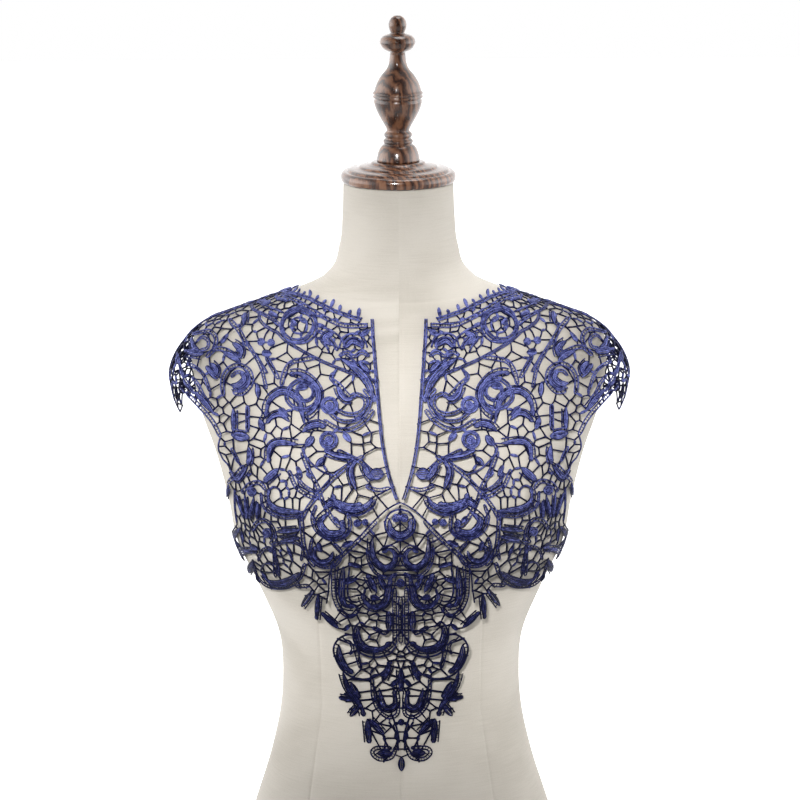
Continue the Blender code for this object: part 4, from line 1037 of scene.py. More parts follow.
def evened(points, most):
    """A polyline of (turn, height) with more points where two of its own are over most metres apart."""
    points = np.asarray(points, float)
    place = lace_point(points[:, 0], points[:, 1])
    found = [points[0]]
    for a, b, length in zip(points, points[1:], np.linalg.norm(np.diff(place, axis=0), axis=1)):
        steps = max(1, math.ceil(length / most))
        found += [a + (b - a) * i / steps for i in range(1, steps + 1)]
    return np.array(found)


def beside(points, distance):
    """The polyline shifted sideways on the lace: to its left, as it runs, for a positive distance."""
    points = np.asarray(points, float)
    ahead = np.gradient(lace_point(points[:, 0], points[:, 1]), axis=0)
    normal = normal_of(lace_point, points[:, 0], points[:, 1])
    left = np.cross(normal, ahead)
    left /= np.linalg.norm(left, axis=1, keepdims=True)
    right = axes_at(points)[2]
    up = np.cross(normal, right)
    return moved(points, distance * np.stack([(left * right).sum(1), (left * up).sum(1)], axis=1))


def mirrored(points):
    """The same line on the other half, run the other way."""
    return np.asarray(points, float)[::-1] * (-1, 1)


def inside(points, outline):
    """Which points lie inside the closed outline."""
    x, y = points[:, 0, None], points[:, 1, None]
    a, b = outline, np.roll(outline, -1, axis=0)
    crosses = (a[:, 1] > y) != (b[:, 1] > y)
    rise = np.where(b[:, 1] == a[:, 1], 1, b[:, 1] - a[:, 1])
    at = a[:, 0] + (y - a[:, 1]) / rise * (b[:, 0] - a[:, 0])
    return (crosses & (x < at)).sum(1) % 2 == 1


def sampled(points, spacing):
    """Places in space along a polyline of (turn, height)."""
    line = evened(points, spacing)
    return lace_point(line[:, 0], line[:, 1])


def lace_lines():
    """The shared seams and the edges of the right half, each a polyline of (turn, height)."""
    band = from_draft(BAND_SEAM)
    band_side = band[-1, 1] - 0.0015
    behind = np.radians((90, 105, 120, 140, 160, 180))
    heights = band_side + (BAND_AT_BACK - band_side) * smooth((behind - SHOULDER) / math.radians(80))
    band = evened(np.vstack([band, np.stack([behind, heights], axis=1)]), EDGE_STEP)
    neck = from_draft(NECK_EDGE)
    behind = np.radians((95, 115, 135, 157, 180))
    heights = neck[-1, 1] + (NECK_AT_BACK - neck[-1, 1]) * smooth((behind - neck[-1, 0]) / 0.7)
    neck = evened(np.vstack([neck, np.stack([behind, heights], axis=1)]), EDGE_STEP)
    at_shoulder = int(np.argmin(np.abs(band[:, 0] - SHOULDER)))
    hem = BACK_HEM * (math.pi / 180, 1)
    shoulder = evened([band[at_shoulder], hem[0]], EDGE_STEP)
    return {
        "slit_of_band": from_draft(SLIT_EDGE_OF_BAND),
        "slit_of_front": from_draft(SLIT_EDGE_OF_FRONT),
        "neck": neck,
        "band": band,
        "at_shoulder": at_shoulder,
        "shoulder": shoulder,
        "back_hem": evened(hem, EDGE_STEP),
        "side": evened(from_draft(SIDE_EDGE), EDGE_STEP),
        "point_seam": evened(from_draft(POINT_SEAM), EDGE_STEP),
        "point_edge": from_draft(POINT_EDGE),
    }


def other_half(points):
    """The same line on the left half, run the other way, its turns counted on past the back."""
    return np.asarray(points, float)[::-1] * (-1, 1) + (2 * math.pi, 0)


def lace_outlines(lines):
    """The outline of each piece of lace, half a seam gap inside every seam."""
    half = SEAM_GAP / 2
    n = lines["at_shoulder"]
    band = lines["band"]
    below_band = beside(band, -half)
    right_band = np.vstack([lines["slit_of_band"], beside(band, half)])
    neck = np.vstack([other_half(lines["neck"])[::-1], lines["neck"][::-1][1:]])
    neck_band = np.vstack([right_band, other_half(right_band)[1:], neck])
    seam = beside(lines["point_seam"], half)[1:]
    shoulder = beside(lines["shoulder"], -half)[::-1]
    front = np.vstack([lines["slit_of_front"], seam, lines["side"][::-1], shoulder, below_band[:n][::-1]])
    right_point = np.vstack([beside(lines["point_seam"], -half), lines["point_edge"]])
    point = np.vstack([right_point, mirrored(right_point)[1:-1]])
    right_back = np.vstack([below_band[n + 1 :][::-1], beside(lines["shoulder"], half), lines["back_hem"][1:]])
    back = np.vstack([right_back, other_half(right_back)[1:-1]])
    return {
        "neck_band": neck_band,
        "front_right": front,
        "front_left": mirrored(front),
        "centre_point": point,
        "back_yoke": back,
    }


lines = lace_lines()
outlines = lace_outlines(lines)
print("panels:", {name: len(outline) for name, outline in outlines.items()})

# %% [markdown]
# ## Laying threads
#
# Three ways of laying a thread cover the whole collar. A cord is round. A ladder is two cords with short bars between
# them. Satin is a low padded ribbon, full in the middle and narrower at its ends, and a rosette is satin wound round
# on itself: a ring, an inner ring and a raised eye.

# %% cords, ladders and satin
CORD_STEP = 0.0013
CORD = 0.00102  # half the width of a cord
LADDER_CORD = 0.00074
RUNG = 0.0004
OUTLINE = 0.0006
STRAND = 0.0019  # how wide one strand of a satin scroll is
LEAST_CURVE = 0.014  # shorter scrolls have no cord beside them
BESIDE = 0.0017  # how far that cord is from the scroll's edge
STRAIGHT = 1e-12  # a smaller bend is only rounding, as on the centre line, and counts as one to the right


def drawn(squares, closed=False, to_lace=from_draft):
    """(turn, height) of places close together along a smooth line through squares of the draft."""
    return to_lace(curve_through(squares, CORD_STEP / DRAFT_SQUARE, closed))


def cord(yarn, places, half=CORD, lift=0.0002, offset=0.0, closed=False, tint=0.45):
    """One round cord, offset to the left of its line."""
    points, normals = on_lace(places, lift)
    if offset:
        points = shifted(points, normals, offset)
    sweep(yarn, points, normals, half, half * 0.95, 6, closed, tint)


def ladder(yarn, places, half, tint=0.48):
    """Two cords side by side, half being half of their full width, and the rungs between them."""
    thick = min(LADDER_CORD, half * 0.42)
    points, normals = on_lace(places, 0.0002)
    taper = np.ones(len(points))
    taper[0] = taper[-1] = 0.35
    if len(points) > 4:
        taper[1] = taper[-2] = 0.8
    off = (half - thick) * taper
    for sign in (-1, 1):
        sweep(yarn, shifted(points, normals, sign * off), normals, thick, thick * 0.95, 6, False, tint)
    for k in range(2, len(points) - 2, 2):
        ahead = points[k + 1] - points[k - 1]
        left = np.cross(normals[k], ahead)
        left *= off[k] / np.linalg.norm(left)
        pair = np.array([points[k] - left, points[k] + left])
        sweep(yarn, pair, normals[[k, k]], RUNG, RUNG, 4, False, tint - 0.15)


def satin(yarn, places, half, tint=0.6):
    """Strands laid side by side as a crescent with a round head at its more curled end, and a fine dark cord on each
    side."""
    points, normals = on_lace(places, 0.0003)
    length = length_along(points)
    shape = 0.08 + 0.92 * np.sin(math.pi * length / length[-1]).clip(0) ** 0.7
    turned_by = np.linalg.norm(np.diff(points, 2, axis=0), axis=1)
    third = max(1, len(turned_by) // 3)
    from_head = length if turned_by[:third].sum() > turned_by[-third:].sum() else length[-1] - length
    if length[-1] > 6 * half:
        shape = np.maximum(shape, 0.82 * np.exp(-(((from_head - 1.1 * half) / (1.1 * half)) ** 2)))
    count = max(2, round(2 * half / STRAND))
    wide = half / count
    for k in range(count):
        off = (2 * k + 1 - count) * wide
        line = shifted(points, normals, off * shape)
        light = tint + 0.12 * math.sin(2.4 * k + 40 * half / wide)
        sweep(yarn, line, normals, wide * 0.92 * shape, 0.0009 * (0.4 + 0.6 * shape), 6, False, light)
    for sign in (-1, 1):
        line = shifted(points, normals, sign * (half + OUTLINE * 0.4) * shape)
        sweep(yarn, line, normals, OUTLINE * (0.5 + 0.5 * shape), OUTLINE * (0.5 + 0.5 * shape), 6, False, 0.0)
    # A cord follows the outer side of the bend, with a rung to it now and then.
    if length[-1] < LEAST_CURVE:
        return
    bend = np.cross(points[2:] - points[1:-1], points[1:-1] - points[:-2]) * normals[1:-1]
    outer = 1 if bend.sum() > STRAIGHT else -1
    kept = slice(1, len(points) - 1)
    line = shifted(points, normals, outer * (half + BESIDE))[kept]
    sweep(yarn, line, normals[kept], 0.0007, 0.00065, 6, False, 0.3)
    near = shifted(points, normals, outer * half * shape)[kept]
    for k in range(1, len(line) - 1, 3):
        sweep(yarn, np.array([near[k], line[k]]), normals[kept][[k, k]], 0.00042, RUNG, 4, False, 0.25)


def spiral(start, end, turns, count):
    """Places that wind from one radius to another."""
    way = np.linspace(0, turns * math.tau, count)
    return np.stack([np.cos(way), np.sin(way)], axis=1) * np.linspace(start, end, count)[:, None]


def rosette(yarn, squares, radius, to_lace, tint=0.55):
    """Rings and an eye round one square of the draft; radius is in squares."""
    middle = np.asarray(squares[0], float)
    turns = np.linspace(0, math.tau, max(12, int(radius * 4)), endpoint=False)
    ring = np.stack([np.cos(turns), np.sin(turns)], axis=1)
    if radius >= 6:
        cord(yarn, to_lace(middle + ring * (radius - 1)), closed=True, tint=tint)
        cord(yarn, to_lace(middle + ring * (radius - 2.9)), closed=True, tint=tint - 0.08)
        inner = radius - 4.6
    else:
        inner = radius - 1.1
        cord(yarn, to_lace(middle + ring * inner), closed=True, tint=tint)
        inner -= 1.6
    cord(yarn, to_lace(middle + spiral(inner, 0.3, 2.5, 26)), half=0.001, lift=0.0004, tint=tint + 0.05)


def leaf(yarn, places, half, tint=0.5):
    """A short satin leaf, widest past its middle."""
    points, normals = on_lace(places, 0.0003)
    f = np.linspace(0, 1, len(points))
    shape = 0.3 + 0.7 * np.sin(math.pi * f**0.8).clip(0) ** 0.7
    for sign in (-1, 1):
        line = shifted(points, normals, sign * half * 0.46 * shape)
        sweep(yarn, line, normals, half * 0.56 * shape, 0.001 * (0.5 + 0.5 * shape), 6, False, tint + 0.09 * sign)


def worked(yarn, width, squares, to_lace=from_draft):
    """One scroll, by its width in squares."""
    squares = np.asarray(squares, float)
    half = width * DRAFT_SQUARE
    run = np.linalg.norm(np.diff(squares, axis=0), axis=1).sum()
    closed = len(squares) > 3 and np.allclose(squares[0], squares[-1])
    if run < 1.5:
        rosette(yarn, squares, width, to_lace)
        return
    if closed and 2.0 <= width < 2.9:
        places = drawn(squares[:-1], closed=True, to_lace=to_lace)
        for offset in (-0.5, 0.5):
            cord(yarn, places, offset=offset * half, closed=True)
        return
    places = drawn(squares, to_lace=to_lace)
    if width >= 2.9 and run < 12:
        leaf(yarn, places, half * 0.85)
    elif width >= 2.9:
        satin(yarn, places, half * 0.78)
    elif width >= 2.0:
        ladder(yarn, places, half)
    else:
        cord(yarn, places)


class Panel:
    """The threads of one piece of lace: of its right half, and those that are their own mirror image."""

    def __init__(self):
        self.half, self.middle = Yarn(), Yarn()

    def whole(self):
        self.middle.join(self.half.mirrored())
        self.middle.join(self.half)
        return self.middle


panels = {name: Panel() for name in ("neck_band", "front_right", "centre_point", "back_yoke")}


def panel_at(squares):
    """The piece of lace that holds most of a line of the draft."""
    places = from_draft(curve_through(squares, 4.0))
    held = {name: inside(places, outlines[name]).mean() for name in ("neck_band", "front_right", "centre_point")}
    return max(held, key=held.get)


scrolls = []
for strokes in (MOTIFS, CENTRE_MOTIFS):
    for width, squares in strokes:
        panel = panels[panel_at(squares)]
        first = len(laid)
        worked(panel.half if strokes is MOTIFS else panel.middle, width, squares)
        scrolls.append((panel, from_draft((squares[0], squares[-1])), first, len(laid)))
print("scrolls worked:", len(scrolls))

# %% [markdown]
# The back has no draft, so one whorl and one sprig are repeated along it. Each is drawn about its own middle and then
# laid on the lace wherever it is wanted, turned as it should face.

# %% whorls and sprigs of the back
WHORL = (
    (3.2, spiral(10, 10 / 3, 1.25, 16)),
    (1.5, spiral(13.2, 13.2 / 3, 0.72, 16)),
    (3.0, ((13, -2), (17, -9))),
    (3.0, ((9, 11), (14, 17))),
    (3.0, ((-12, 8), (-18, 12))),
    (3.0, ((-11, -9), (-17, -13))),
)
SPRIG = (
    (3.0, ((0, -2), (0, 8))),
    (2.9, ((1, 0), (7, 5))),
    (2.9, ((-1, 0), (-7, 5))),
    (1.5, ((0, -9), (-1, -5), (0, -2))),
)


def laid_at(yarn, strokes, middle, facing=0.0, size=1.0, flip=1):
    """Strokes drawn about their own middle, laid on the lace at a (turn, height)."""
    cosine, sine = math.cos(facing), math.sin(facing)
    spin = np.array(((cosine, sine), (-sine, cosine)))
    middle = np.asarray(middle, float)

    def to_lace(squares):
        away = (np.asarray(squares, float) * (flip, 1)) @ spin * DRAFT_SQUARE * size
        return moved(np.repeat(middle[None], len(away), axis=0), away)

    for width, squares in strokes:
        worked(yarn, width * size, squares, to_lace)


yoke = panels["back_yoke"].half
for k, degrees in enumerate((99, 113, 127, 141, 155, 169)):
    turn, odd = math.radians(degrees), k % 2
    laid_at(yoke, WHORL, (turn, 0.515 + 0.004 * odd), facing=1.1 * k, size=0.95, flip=1 - 2 * odd)
    laid_at(yoke, SPRIG, (turn + 0.12, 0.487), facing=math.pi, size=0.9)
    laid_at(yoke, SPRIG, (turn + 0.12, 0.54), facing=0.3, size=0.85)
    laid_at(yoke, SPRIG, (turn, 0.483), facing=math.pi - 0.2, size=0.9)
print("threads laid:", len(laid))

# %% [markdown]
# ## Edges and seams
#
# The neck, the slit, the seams and the hem of the back are bound by cords, because those hold the collar's shape. The
# neck has a second cord and a row of small buds, and each side of the slit has two cords that make a flat braid. The
# hem of the front is made of its own scrolls and leaves.

# %% bound edges


def along(places, step=CORD_STEP):
    """The same line over the lace as points an even step apart."""
    line = evened(np.asarray(places, float), 0.004)
    length = length_along(lace_point(line[:, 0], line[:, 1]))
    at = np.linspace(0, length[-1], max(3, int(length[-1] / step) + 1))
    return np.stack([np.interp(at, length, column) for column in line.T], axis=1)


def softened(places, rounds=3):
    """A line with its corners eased."""
    places = np.asarray(places, float).copy()
    for _ in range(rounds):
        places[1:-1] = places[1:-1] * 0.5 + (places[:-2] + places[2:]) * 0.25
    return places


band, front, point, back = (panels[name].half for name in ("neck_band", "front_right", "centre_point", "back_yoke"))
slit_of_band = along(from_draft(curve_through(SLIT_EDGE_OF_BAND + (SLIT_BAND_CORNER,), 2.0)))
slit_of_front = along(from_draft(curve_through((SLIT_BAND_CORNER,) + SLIT_EDGE_OF_FRONT, 2.0)))
for yarn, line in ((band, slit_of_band), (front, slit_of_front)):
    cord(yarn, line, half=0.0008, offset=0.0009, tint=0.35)
    cord(yarn, line, half=0.0008, offset=0.0026, tint=0.58, lift=0.0004)
neck = along(lines["neck"])
cord(band, neck, half=0.001, offset=-0.0011)
cord(band, neck, half=0.0009, offset=-0.0034, tint=0.55)
for line, yarn, offset in (
    (lines["band"], band, 0.0009),
    (lines["band"][: lines["at_shoulder"] + 1], front, -0.0009),
    (lines["band"][lines["at_shoulder"] :], back, -0.0009),
    (lines["shoulder"], front, -0.0009),
    (lines["shoulder"], back, 0.0009),
    (lines["point_seam"], front, 0.0008),
    (lines["back_hem"], back, 0.0012),
):
    cord(yarn, softened(along(line)), half=0.0008, offset=offset, tint=0.36)


def tree_of(points):
    """Points kept so that the nearest can be asked for."""
    tree = mathutils.kdtree.KDTree(len(points))
    for i, place in enumerate(points):
        tree.insert(place, i)
    tree.balance()
    return tree


def laid_points():
    """Every point of every thread laid so far, and the half width there."""
    return np.vstack([line for line, _, _ in laid]), np.concatenate([half for _, half, _ in laid])


# A cord binds the hem of the front only where no scroll does and the net would end in the air.
HEM_CLEAR = 0.0042
scroll_tree = tree_of(laid_points()[0])
for line, yarn, offset in ((lines["side"], front, -0.0012), (lines["point_edge"], point, 0.0011)):
    places = softened(along(line))
    bare = [scroll_tree.find(place)[2] > HEM_CLEAR for place in lace_point(places[:, 0], places[:, 1])]
    run = []
    for k, free in enumerate(bare + [False]):
        if free:
            run.append(k)
        elif run:
            if len(run) > 3:
                cord(yarn, places[max(run[0] - 2, 0) : run[-1] + 3], half=0.0009, offset=offset)
            run = []


def bud(yarn, places, at, tall, lean=0.0, half=0.0014, tint=0.55):
    """A bud that stands out to the left of a line, at a share of its length."""
    k = int(at * (len(places) - 1))
    k = min(max(k, 1), len(places) - 2)
    foot = places[k]
    points, normals = on_lace(places[k - 1 : k + 2], 0.0003)
    ahead = points[2] - points[0]
    ahead /= np.linalg.norm(ahead)
    left = np.cross(normals[1], ahead)
    way = left + ahead * lean
    right, up = (axis[0] for axis in axes_at(foot[None])[2:])
    steps = np.linspace(-0.2, 1, 7)[:, None] * tall * np.array((way @ right, way @ up / np.linalg.norm(up)))
    line = moved(np.repeat(foot[None], 7, axis=0), steps)
    points, normals = on_lace(line, 0.0003)
    f = np.linspace(0, 1, 7)
    shape = 0.45 + 0.55 * np.sin(math.pi * f**1.3).clip(0) ** 0.8
    sweep(yarn, points, normals, half * shape, 0.0011 * shape, 8, False, tint)


NECK_BUDS = 27
BUD_KINDS = ((0.0074, 0.2, 0.002), (0.0036, -0.3, 0.0016), (0.005, 0.1, 0.0017))  # height, lean and half width
for k in range(NECK_BUDS):
    at = (k + 0.35) / NECK_BUDS
    tall, lean, half = BUD_KINDS[k % 3]
    bud(band, neck, at, tall, lean=lean, half=half)
    bud(band, neck, at, -0.0025, half=0.0013, tint=0.5)
print("edges bound")

# %% [markdown]
# The ends of the scrolls are tied to what is next to them by a short thick bar, or they would lift as soon as the
# ground is dissolved.

# %% ties at the ends
TIE_REACH, SHORT_TIE, TOUCHING = 0.008, 0.0026, 0.0004
tie_points, tie_half = laid_points()
tie_tree = tree_of(tie_points)
tie_thread = np.repeat(np.arange(len(laid)), [len(line) for line, _, _ in laid])


def tie_from(place, panel, first, last):
    """The nearest point of another thread of the same piece, and the gap to it."""
    found = []
    for _, i, away in tie_tree.find_range(place, TIE_REACH):
        thread = tie_thread[i]
        if not first <= thread < last and laid[thread][2] in (panel.half, panel.middle):
            found.append((away - tie_half[i], i))
    return min(found, default=(TIE_REACH, -1))


ties = 0
for panel, ends, first, last in scrolls:
    points, normals = on_lace(ends, 0.0002)
    nearest = sorted((tie_from(points[k], panel, first, last), k) for k in (0, 1))
    for rank, ((gap, i), k) in enumerate(nearest):
        if i >= 0 and TOUCHING < gap < (SHORT_TIE if rank else TIE_REACH):
            line = points[k] + (tie_points[i] - points[k]) * np.linspace(-0.1, 1, 3)[:, None]
            sweep(panel.half, line, normals[[k, k, k]], 0.0008, 0.0007, 4, False, 0.3)
            ties += 1
print("ties:", ties)

# %% [markdown]
# ## The net
#
# The bars between scrolls meet three at a time, like the walls of foam, because the machine always ties to the nearest
# thread. So the net starts from points scattered with an even distance between them, and a bar runs halfway between
# each two neighbours. Bars that would lie under a scroll are left out.

# %% where the net's cells are


def motif_places():
    """Places along every scroll of both halves, and the clear half width round each."""
    slit = from_draft(SLIT_EDGE_OF_BAND + (SLIT_BAND_CORNER,) + SLIT_EDGE_OF_FRONT)
    found = [(2.5, sampled(beside(slit, 2.5 * DRAFT_SQUARE), 0.002))]
    found += [(width, sampled(from_draft(line), 0.002)) for width, line in MOTIFS + CENTRE_MOTIFS]
    places = np.vstack([line for _, line in found])
    widths = np.concatenate([np.full(len(line), width * DRAFT_SQUARE + MOTIF_MARGIN) for width, line in found])
    return np.vstack([places, places * (-1, 1, 1)]), np.concatenate([widths, widths])


rim = np.vstack([sampled(np.vstack([outline, outline[:1]]), 0.002) for outline in outlines.values()])
rim_tree = tree_of(rim)
motifs, motif_widths = motif_places()
motif_tree = tree_of(motifs)


def room_at(place, reach=0.012):
    """How far a place is from the nearest scroll's edge, up to reach."""
    near = motif_tree.find_range(place, reach)
    return min((away - motif_widths[i] for _, i, away in near), default=reach)


def net_share(heights):
    """0 in the close net below the bust, 1 in the open net above it."""
    return smooth((heights - LOW_NET_TOP) / NET_BLEND)


def cell_sites():
    """The middles of the net's cells: first the wide gaps, then darts that keep their distance."""
    rng = np.random.default_rng(GAP_SEED)
    sites = list(from_draft(WIDE_GAPS[:, :2]))
    keep = [row[2] * DRAFT_SQUARE for row in WIDE_GAPS]
    places = [lace_point(*site) for site in sites]
    axis = np.stack([np.zeros(AXIS_TRIES), np.linspace(NET_FOOT[1], LOW_NET_TOP, AXIS_TRIES)], axis=1)
    darts = np.vstack([axis, rng.random((GAP_TRIES, 2)) * NET_SPAN + NET_FOOT])
    within = inside(darts, outlines["front_right"]) | inside(darts, outlines["centre_point"])
    within |= inside(darts, outlines["back_yoke"])
    darts = darts[within]
    spots = lace_point(darts[:, 0], darts[:, 1])
    apart = LOW_SPACING + (GAP_SPACING - LOW_SPACING) * net_share(spots[:, 2])
    for dart, spot, own in zip(darts, spots, apart):
        if 0 < spot[0] < own / 2 or rim_tree.find(spot)[2] < EDGE_MARGIN + RIM_ROOM or room_at(spot) < own / 5:
            continue
        away = np.linalg.norm(np.array(places) - spot, axis=1)
        if (away < np.maximum(own, keep)).any():
            continue
        sites.append(dart)
        places.append(spot)
        keep.append(own)
    return np.array(sites)


BAND_SPACING, BAND_TRIES, BAND_MARGIN = 0.0062, 9000, 0.002
BAND_FOOT, BAND_SPAN = (0, 0.52), (math.pi, 0.11)


def band_sites():
    """The closer cells of the band round the neck."""
    rng = np.random.default_rng(GAP_SEED + 3)
    darts = rng.random((BAND_TRIES, 2)) * BAND_SPAN + BAND_FOOT
    darts = darts[inside(darts, outlines["neck_band"])]
    sites, places = [], []
    for dart, spot in zip(darts, lace_point(darts[:, 0], darts[:, 1])):
        if rim_tree.find(spot)[2] < BAND_MARGIN or spot[0] < BAND_SPACING / 2:
            continue
        if places and np.linalg.norm(np.array(places) - spot, axis=1).min() < BAND_SPACING:
            continue
        sites.append(dart)
        places.append(spot)
    return np.array(sites)


sites = np.vstack([cell_sites(), band_sites()])
print("cells a half:", len(sites))

# %% the bars of the net
BAR, LOW_BAR = 0.00086, 0.00095
LEAST_BAR = 0.0008
BAR_REACH = 0.02
BAR_STEPS = 25
LEAF_SHARE = 0.3
LEAF_BAR = (0.0032, 0.0085)
LEAF_SHAPE = np.array((0.35, 0.9, 1.0, 1.0, 0.8, 0.3))
BAR_SHAPE = np.array((1.25, 1.0, 1.0, 1.25))
WIDEST_THREAD = 0.0045
leaf_luck = np.random.default_rng(5)
thread_points, thread_half = laid_points()
thread_tree = tree_of(thread_points)


def under_thread(spot, slack=-0.0003):
    """Whether a place is hidden by a scroll or cord, or within slack of one."""
    return any(away < thread_half[i] + slack for _, i, away in thread_tree.find_range(spot, WIDEST_THREAD))


def clipped(corners, owners, normal, limit, owner):
    """A convex polygon cut by a line, with the owner of each side kept."""
    found, whose = [], []
    count = len(corners)
    off = [x * normal[0] + y * normal[1] - limit for x, y in corners]
    for k in range(count):
        a, b = corners[k], corners[(k + 1) % count]
        if off[k] <= 0:
            found.append(a)
            whose.append(owners[k])
        if (off[k] <= 0) != (off[(k + 1) % count] <= 0):
            f = off[k] / (off[k] - off[(k + 1) % count])
            found.append((a[0] + (b[0] - a[0]) * f, a[1] + (b[1] - a[1]) * f))
            whose.append(owner if off[k] <= 0 else owners[k])
    return found, whose


def cell_sides(own):
    """Each side between two cells once: (site, neighbour, end, end), the ends in metres right and up from the site."""
    places = lace_point(own[:, 0], own[:, 1])
    count = len(own)
    others = np.vstack([places, places * (-1, 1, 1)])
    step = 1e-3
    right = lace_point(own[:, 0] + step, own[:, 1]) - lace_point(own[:, 0] - step, own[:, 1])
    up = lace_point(own[:, 0], own[:, 1] + step) - lace_point(own[:, 0], own[:, 1] - step)
    right /= np.linalg.norm(right, axis=1, keepdims=True)
    up -= (up * right).sum(1, keepdims=True) * right
    up /= np.linalg.norm(up, axis=1, keepdims=True)
    countable = np.concatenate([np.ones(count, bool), places[:, 0] > 1e-6])
    sides = []
    for i in range(count):
        off = others - places[i]
        away = np.linalg.norm(off, axis=1)
        near = np.flatnonzero((away < 2 * BAR_REACH) & (away > 1e-6) & countable)
        near = near[np.argsort(away[near])]
        corners = [(-BAR_REACH, -BAR_REACH), (BAR_REACH, -BAR_REACH), (BAR_REACH, BAR_REACH), (-BAR_REACH, BAR_REACH)]
        owners = [-1] * 4
        for j in near:
            flat = (off[j] @ right[i], off[j] @ up[i])
            size = math.hypot(*flat)
            corners, owners = clipped(corners, owners, (flat[0] / size, flat[1] / size), away[j] / 2, int(j))
        for k, owner in enumerate(owners):
            if owner >= i:
                sides.append((i, owner, corners[k], corners[(k + 1) % len(corners)]))
    return sides


def tied(spots, first, last):
    """The ends of a bar drawn in to the last threads that it meets, where it would run out of the lace."""
    held = [k for k in range(first, last + 1) if under_thread(spots[k], 0.0006)]
    if first > 0:
        first = held[0] if held else last
    if last < BAR_STEPS - 1:
        last = held[-1] if held else first
    return first, last


def net_of(name):
    """The bars and small leaves of one piece, and how many there are."""
    outline = outlines[name]
    own = sites[inside(sites, outline)]
    sides = cell_sides(own)
    steps = np.linspace(0, 1, BAR_STEPS)
    base = np.repeat(own[[side[0] for side in sides]], BAR_STEPS, axis=0)
    flat = np.vstack([np.array(a) + (np.array(b) - a) * steps[:, None] for _, _, a, b in sides])
    run = moved(base, flat).reshape(-1, BAR_STEPS, 2)
    place = lace_point(run[..., 0], run[..., 1])
    within = inside(run.reshape(-1, 2), outline).reshape(-1, BAR_STEPS)
    count = 0
    for (i, j, _, _), line, spots, ok in zip(sides, run, place, within):
        if not ok.any():
            continue
        first, last = np.flatnonzero(ok)[[0, -1]]
        if all(under_thread(spot) for spot in spots[first : last + 1 : 4]):
            continue
        if first > 0 or last < BAR_STEPS - 1:
            first, last = tied(spots, first, last)
            if last <= first:
                continue
        kept = np.linspace(0, 1, 4)[:, None] * (line[last] - line[first]) + line[first]
        points, normals = on_lace(kept, -0.0002)
        long = np.linalg.norm(points[-1] - points[0])
        if long < LEAST_BAR:
            continue
        own_mirror = j - len(own) == i or (j < len(own) and own[i, 0] == own[j, 0] == 0)
        if own[i, 0] == 0 and j >= len(own):
            continue
        if name != "front_right" and j >= len(own) and not own_mirror and j - len(own) < i:
            continue
        yarn = panels[name].middle if own_mirror else panels[name].half
        if LEAF_BAR[0] < long < LEAF_BAR[1] and leaf_luck.random() < LEAF_SHARE:
            points, normals = on_lace(np.linspace(0, 1, 6)[:, None] * (kept[-1] - kept[0]) + kept[0], 0.0001)
            wide = (0.0013 + 0.04 * long) * LEAF_SHAPE
            sweep(yarn, points, normals, wide, 0.0008 * LEAF_SHAPE, 6, False, 0.5)
        else:
            thick = LOW_BAR + (BAR - LOW_BAR) * float(net_share(points[0, 2]))
            sweep(yarn, points, normals, thick * BAR_SHAPE, thick * 0.9, 4, False, 0.02)
        count += 1
    return count


print("bars:", {name: net_of(name) for name in panels})

# %% [markdown]
# ## The five pieces
#
# Each piece is one object. Its area is that of the lace it covers, since lace is cut to shape before it is worn.

# %% making the pieces


def flat_area(outline):
    """The area of the lace inside an outline, in square metres."""
    low, high = outline.min(axis=0), outline.max(axis=0)
    turns, heights = np.linspace(low[0], high[0], 260), np.linspace(low[1], high[1], 200)
    grid = np.stack(np.meshgrid(turns, heights, indexing="ij"), axis=-1)
    points = lace_point(grid[..., 0], grid[..., 1])
    cell = np.cross(points[1:, :-1] - points[:-1, :-1], points[:-1, 1:] - points[:-1, :-1])
    middles = (grid[1:, 1:] + grid[:-1, :-1]) / 2
    held = inside(middles.reshape(-1, 2), outline)
    return float(np.linalg.norm(cell, axis=-1).reshape(-1)[held].sum())


for name, panel in panels.items():
    area = flat_area(outlines[name])
    made = {"lace_" + name: (name, panel.half if name == "front_right" else panel.whole())}
    if name == "front_right":
        made["lace_front_left"] = ("front_left", panel.half.mirrored())
    for piece, (node, yarn) in made.items():
        obj = yarn.made(piece, blue_thread)
        surface = sum(face.area for face in obj.data.polygons)
        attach(obj, "root")
        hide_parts(node)
        print(piece, len(obj.data.polygons), "faces, area", round(area, 4), "surface/2", round(surface / 2, 4))

# %% [markdown]
# ## Light and camera
#
# The form stands in a white room whose side walls are bright, with a soft lamp above it and a narrow lamp in front that
# is aimed at the chest, so that the thread's sheen shows and no hard shadow falls across the net. The floor has a
# painted glow of its own behind the form, which keeps the ground behind the waist white.

# %% the room
SIDE_GLOW, BACK_GLOW, OVERHEAD_GLOW = 3.5, 1.5, 0.12
WHITE = (1, 1, 1, 1)


def lamp(kind, name, place, aim, power, **settings):
    """A lamp at a place, turned to what it lights."""
    light = bpy.data.lights.new(name, kind)
    light.energy = power
    for key, value in settings.items():
        setattr(light, key, value)
    obj = bpy.data.objects.new(name, light)
    obj.location = place
    obj.rotation_euler = (mathutils.Vector(aim) - mathutils.Vector(place)).to_track_quat("-Z", "Y").to_euler()
    bpy.context.scene.collection.objects.link(obj)


def floor_with_painted_glow():
    """Pale matt paint with a painted glow that fades in behind the form, so that the ground there shows white."""
    add, _, _, finish = shader_of("floor_with_painted_glow")
    depth = add("SeparateXYZ", {0: add("TexCoord").outputs["Object"]}).outputs[1]
    # Painted glow: the floor gives off light of its own, none in front of the form and full behind it.
    glow = add("MapRange", {0: depth, 1: -0.15, 2: 0.28, 3: 0.0, 4: 1.0}, interpolation_type="SMOOTHSTEP")
    looks = {"Emission Strength": glow.outputs[0], "Emission Color": WHITE}
    return finish(looks | {"Base Color": (0.62, 0.62, 0.62, 1)})


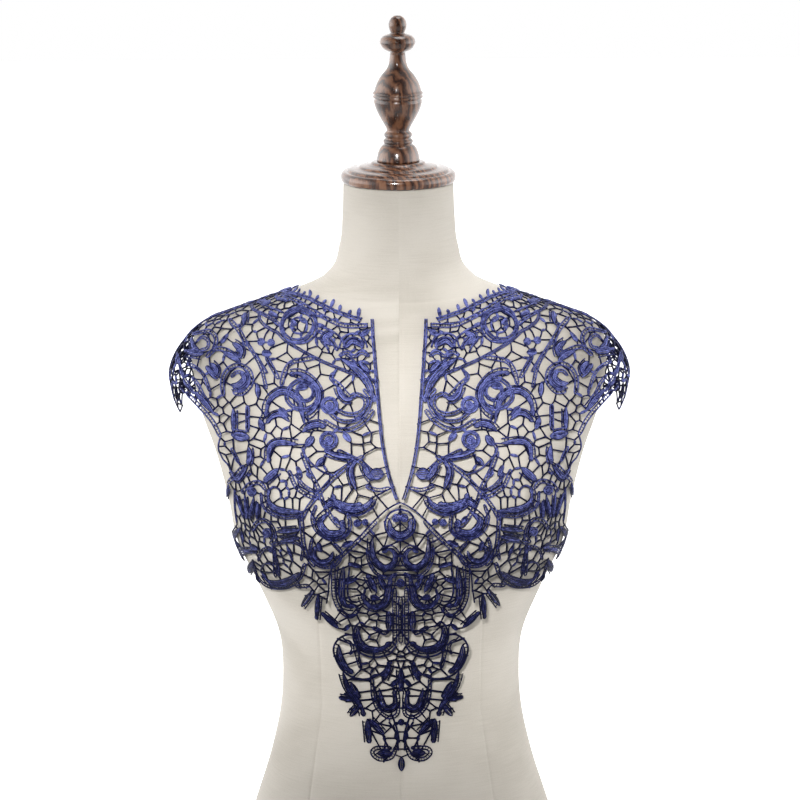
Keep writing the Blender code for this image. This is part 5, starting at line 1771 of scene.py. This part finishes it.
def white_room():
    """Bright walls to both sides and behind, a little light from above and none from in front. The camera sees plain
    white."""
    world = bpy.data.worlds.new("white_room")
    bpy.context.scene.world = world
    world.use_nodes = True
    tree = world.node_tree
    add, maths, _ = adders(tree)
    way = add("SeparateXYZ", {0: add("TexCoord").outputs["Generated"]}).outputs
    aside = maths("MULTIPLY", way[0], way[0])
    above = maths("MAXIMUM", way[2], 0.0)
    glow = maths("MULTIPLY_ADD", maths("MULTIPLY", aside, aside), SIDE_GLOW, 0.0)
    glow = maths("MULTIPLY_ADD", maths("MAXIMUM", way[1], 0.0), BACK_GLOW, glow)
    glow = maths("MULTIPLY_ADD", maths("MULTIPLY", above, above), OVERHEAD_GLOW, glow)
    wall = tree.nodes["Background"]
    fill_in(tree, wall, {"Color": WHITE, "Strength": glow})
    plain = add("Background", {"Color": WHITE}).outputs[0]
    both = add("MixShader", {0: add("LightPath").outputs["Is Camera Ray"], 1: wall.outputs[0], 2: plain})
    fill_in(tree, tree.nodes["World Output"], {0: both.outputs[0]})


floor = mesh_object("floor", [(-6, -6, 0), (6, -6, 0), (6, 6, 0), (-6, 6, 0)], [(0, 1, 2, 3)], floor_with_painted_glow())
lamp("AREA", "top", (0.3, 0.2, 3.0), (0, 0, 0.45), 22, shape="DISK", size=1.6)
narrow = {"shadow_soft_size": 0.25, "spot_size": math.radians(9.0), "spot_blend": 1.0}
lamp("SPOT", "collar_spot", (-0.3, -2.4, 1.6), (0, -0.1, 0.445), 1000, **narrow)
white_room()
print("lamps:", [light.name for light in bpy.data.lights])

# %% the camera
SHEET_SQUARES = 800
CAMERA_ROLL = math.radians(0.3)
camera_data = bpy.data.cameras.new("camera")
camera_data.lens = 36 / (SHEET_SQUARES * DRAFT_SQUARE) * SIGHT_DISTANCE
camera_data.clip_end = 50
camera = bpy.data.objects.new("camera", camera_data)
camera.location = (0, -SIGHT_DISTANCE * math.cos(SIGHT_FALL), SIGHT_HEIGHT + SIGHT_DISTANCE * math.sin(SIGHT_FALL))
camera_roll = mathutils.Matrix.Rotation(-CAMERA_ROLL, 3, "Z")
camera.rotation_euler = (mathutils.Euler((math.pi / 2 - SIGHT_FALL, 0, 0)).to_matrix() @ camera_roll).to_euler()
camera_data.shift_x = 0.5 / SHEET_SQUARES
bpy.context.scene.collection.objects.link(camera)
bpy.context.scene.camera = camera
bpy.context.scene.view_settings.view_transform = "Standard"
bpy.context.view_layer.update()
print("camera at", [round(x, 3) for x in camera.location])
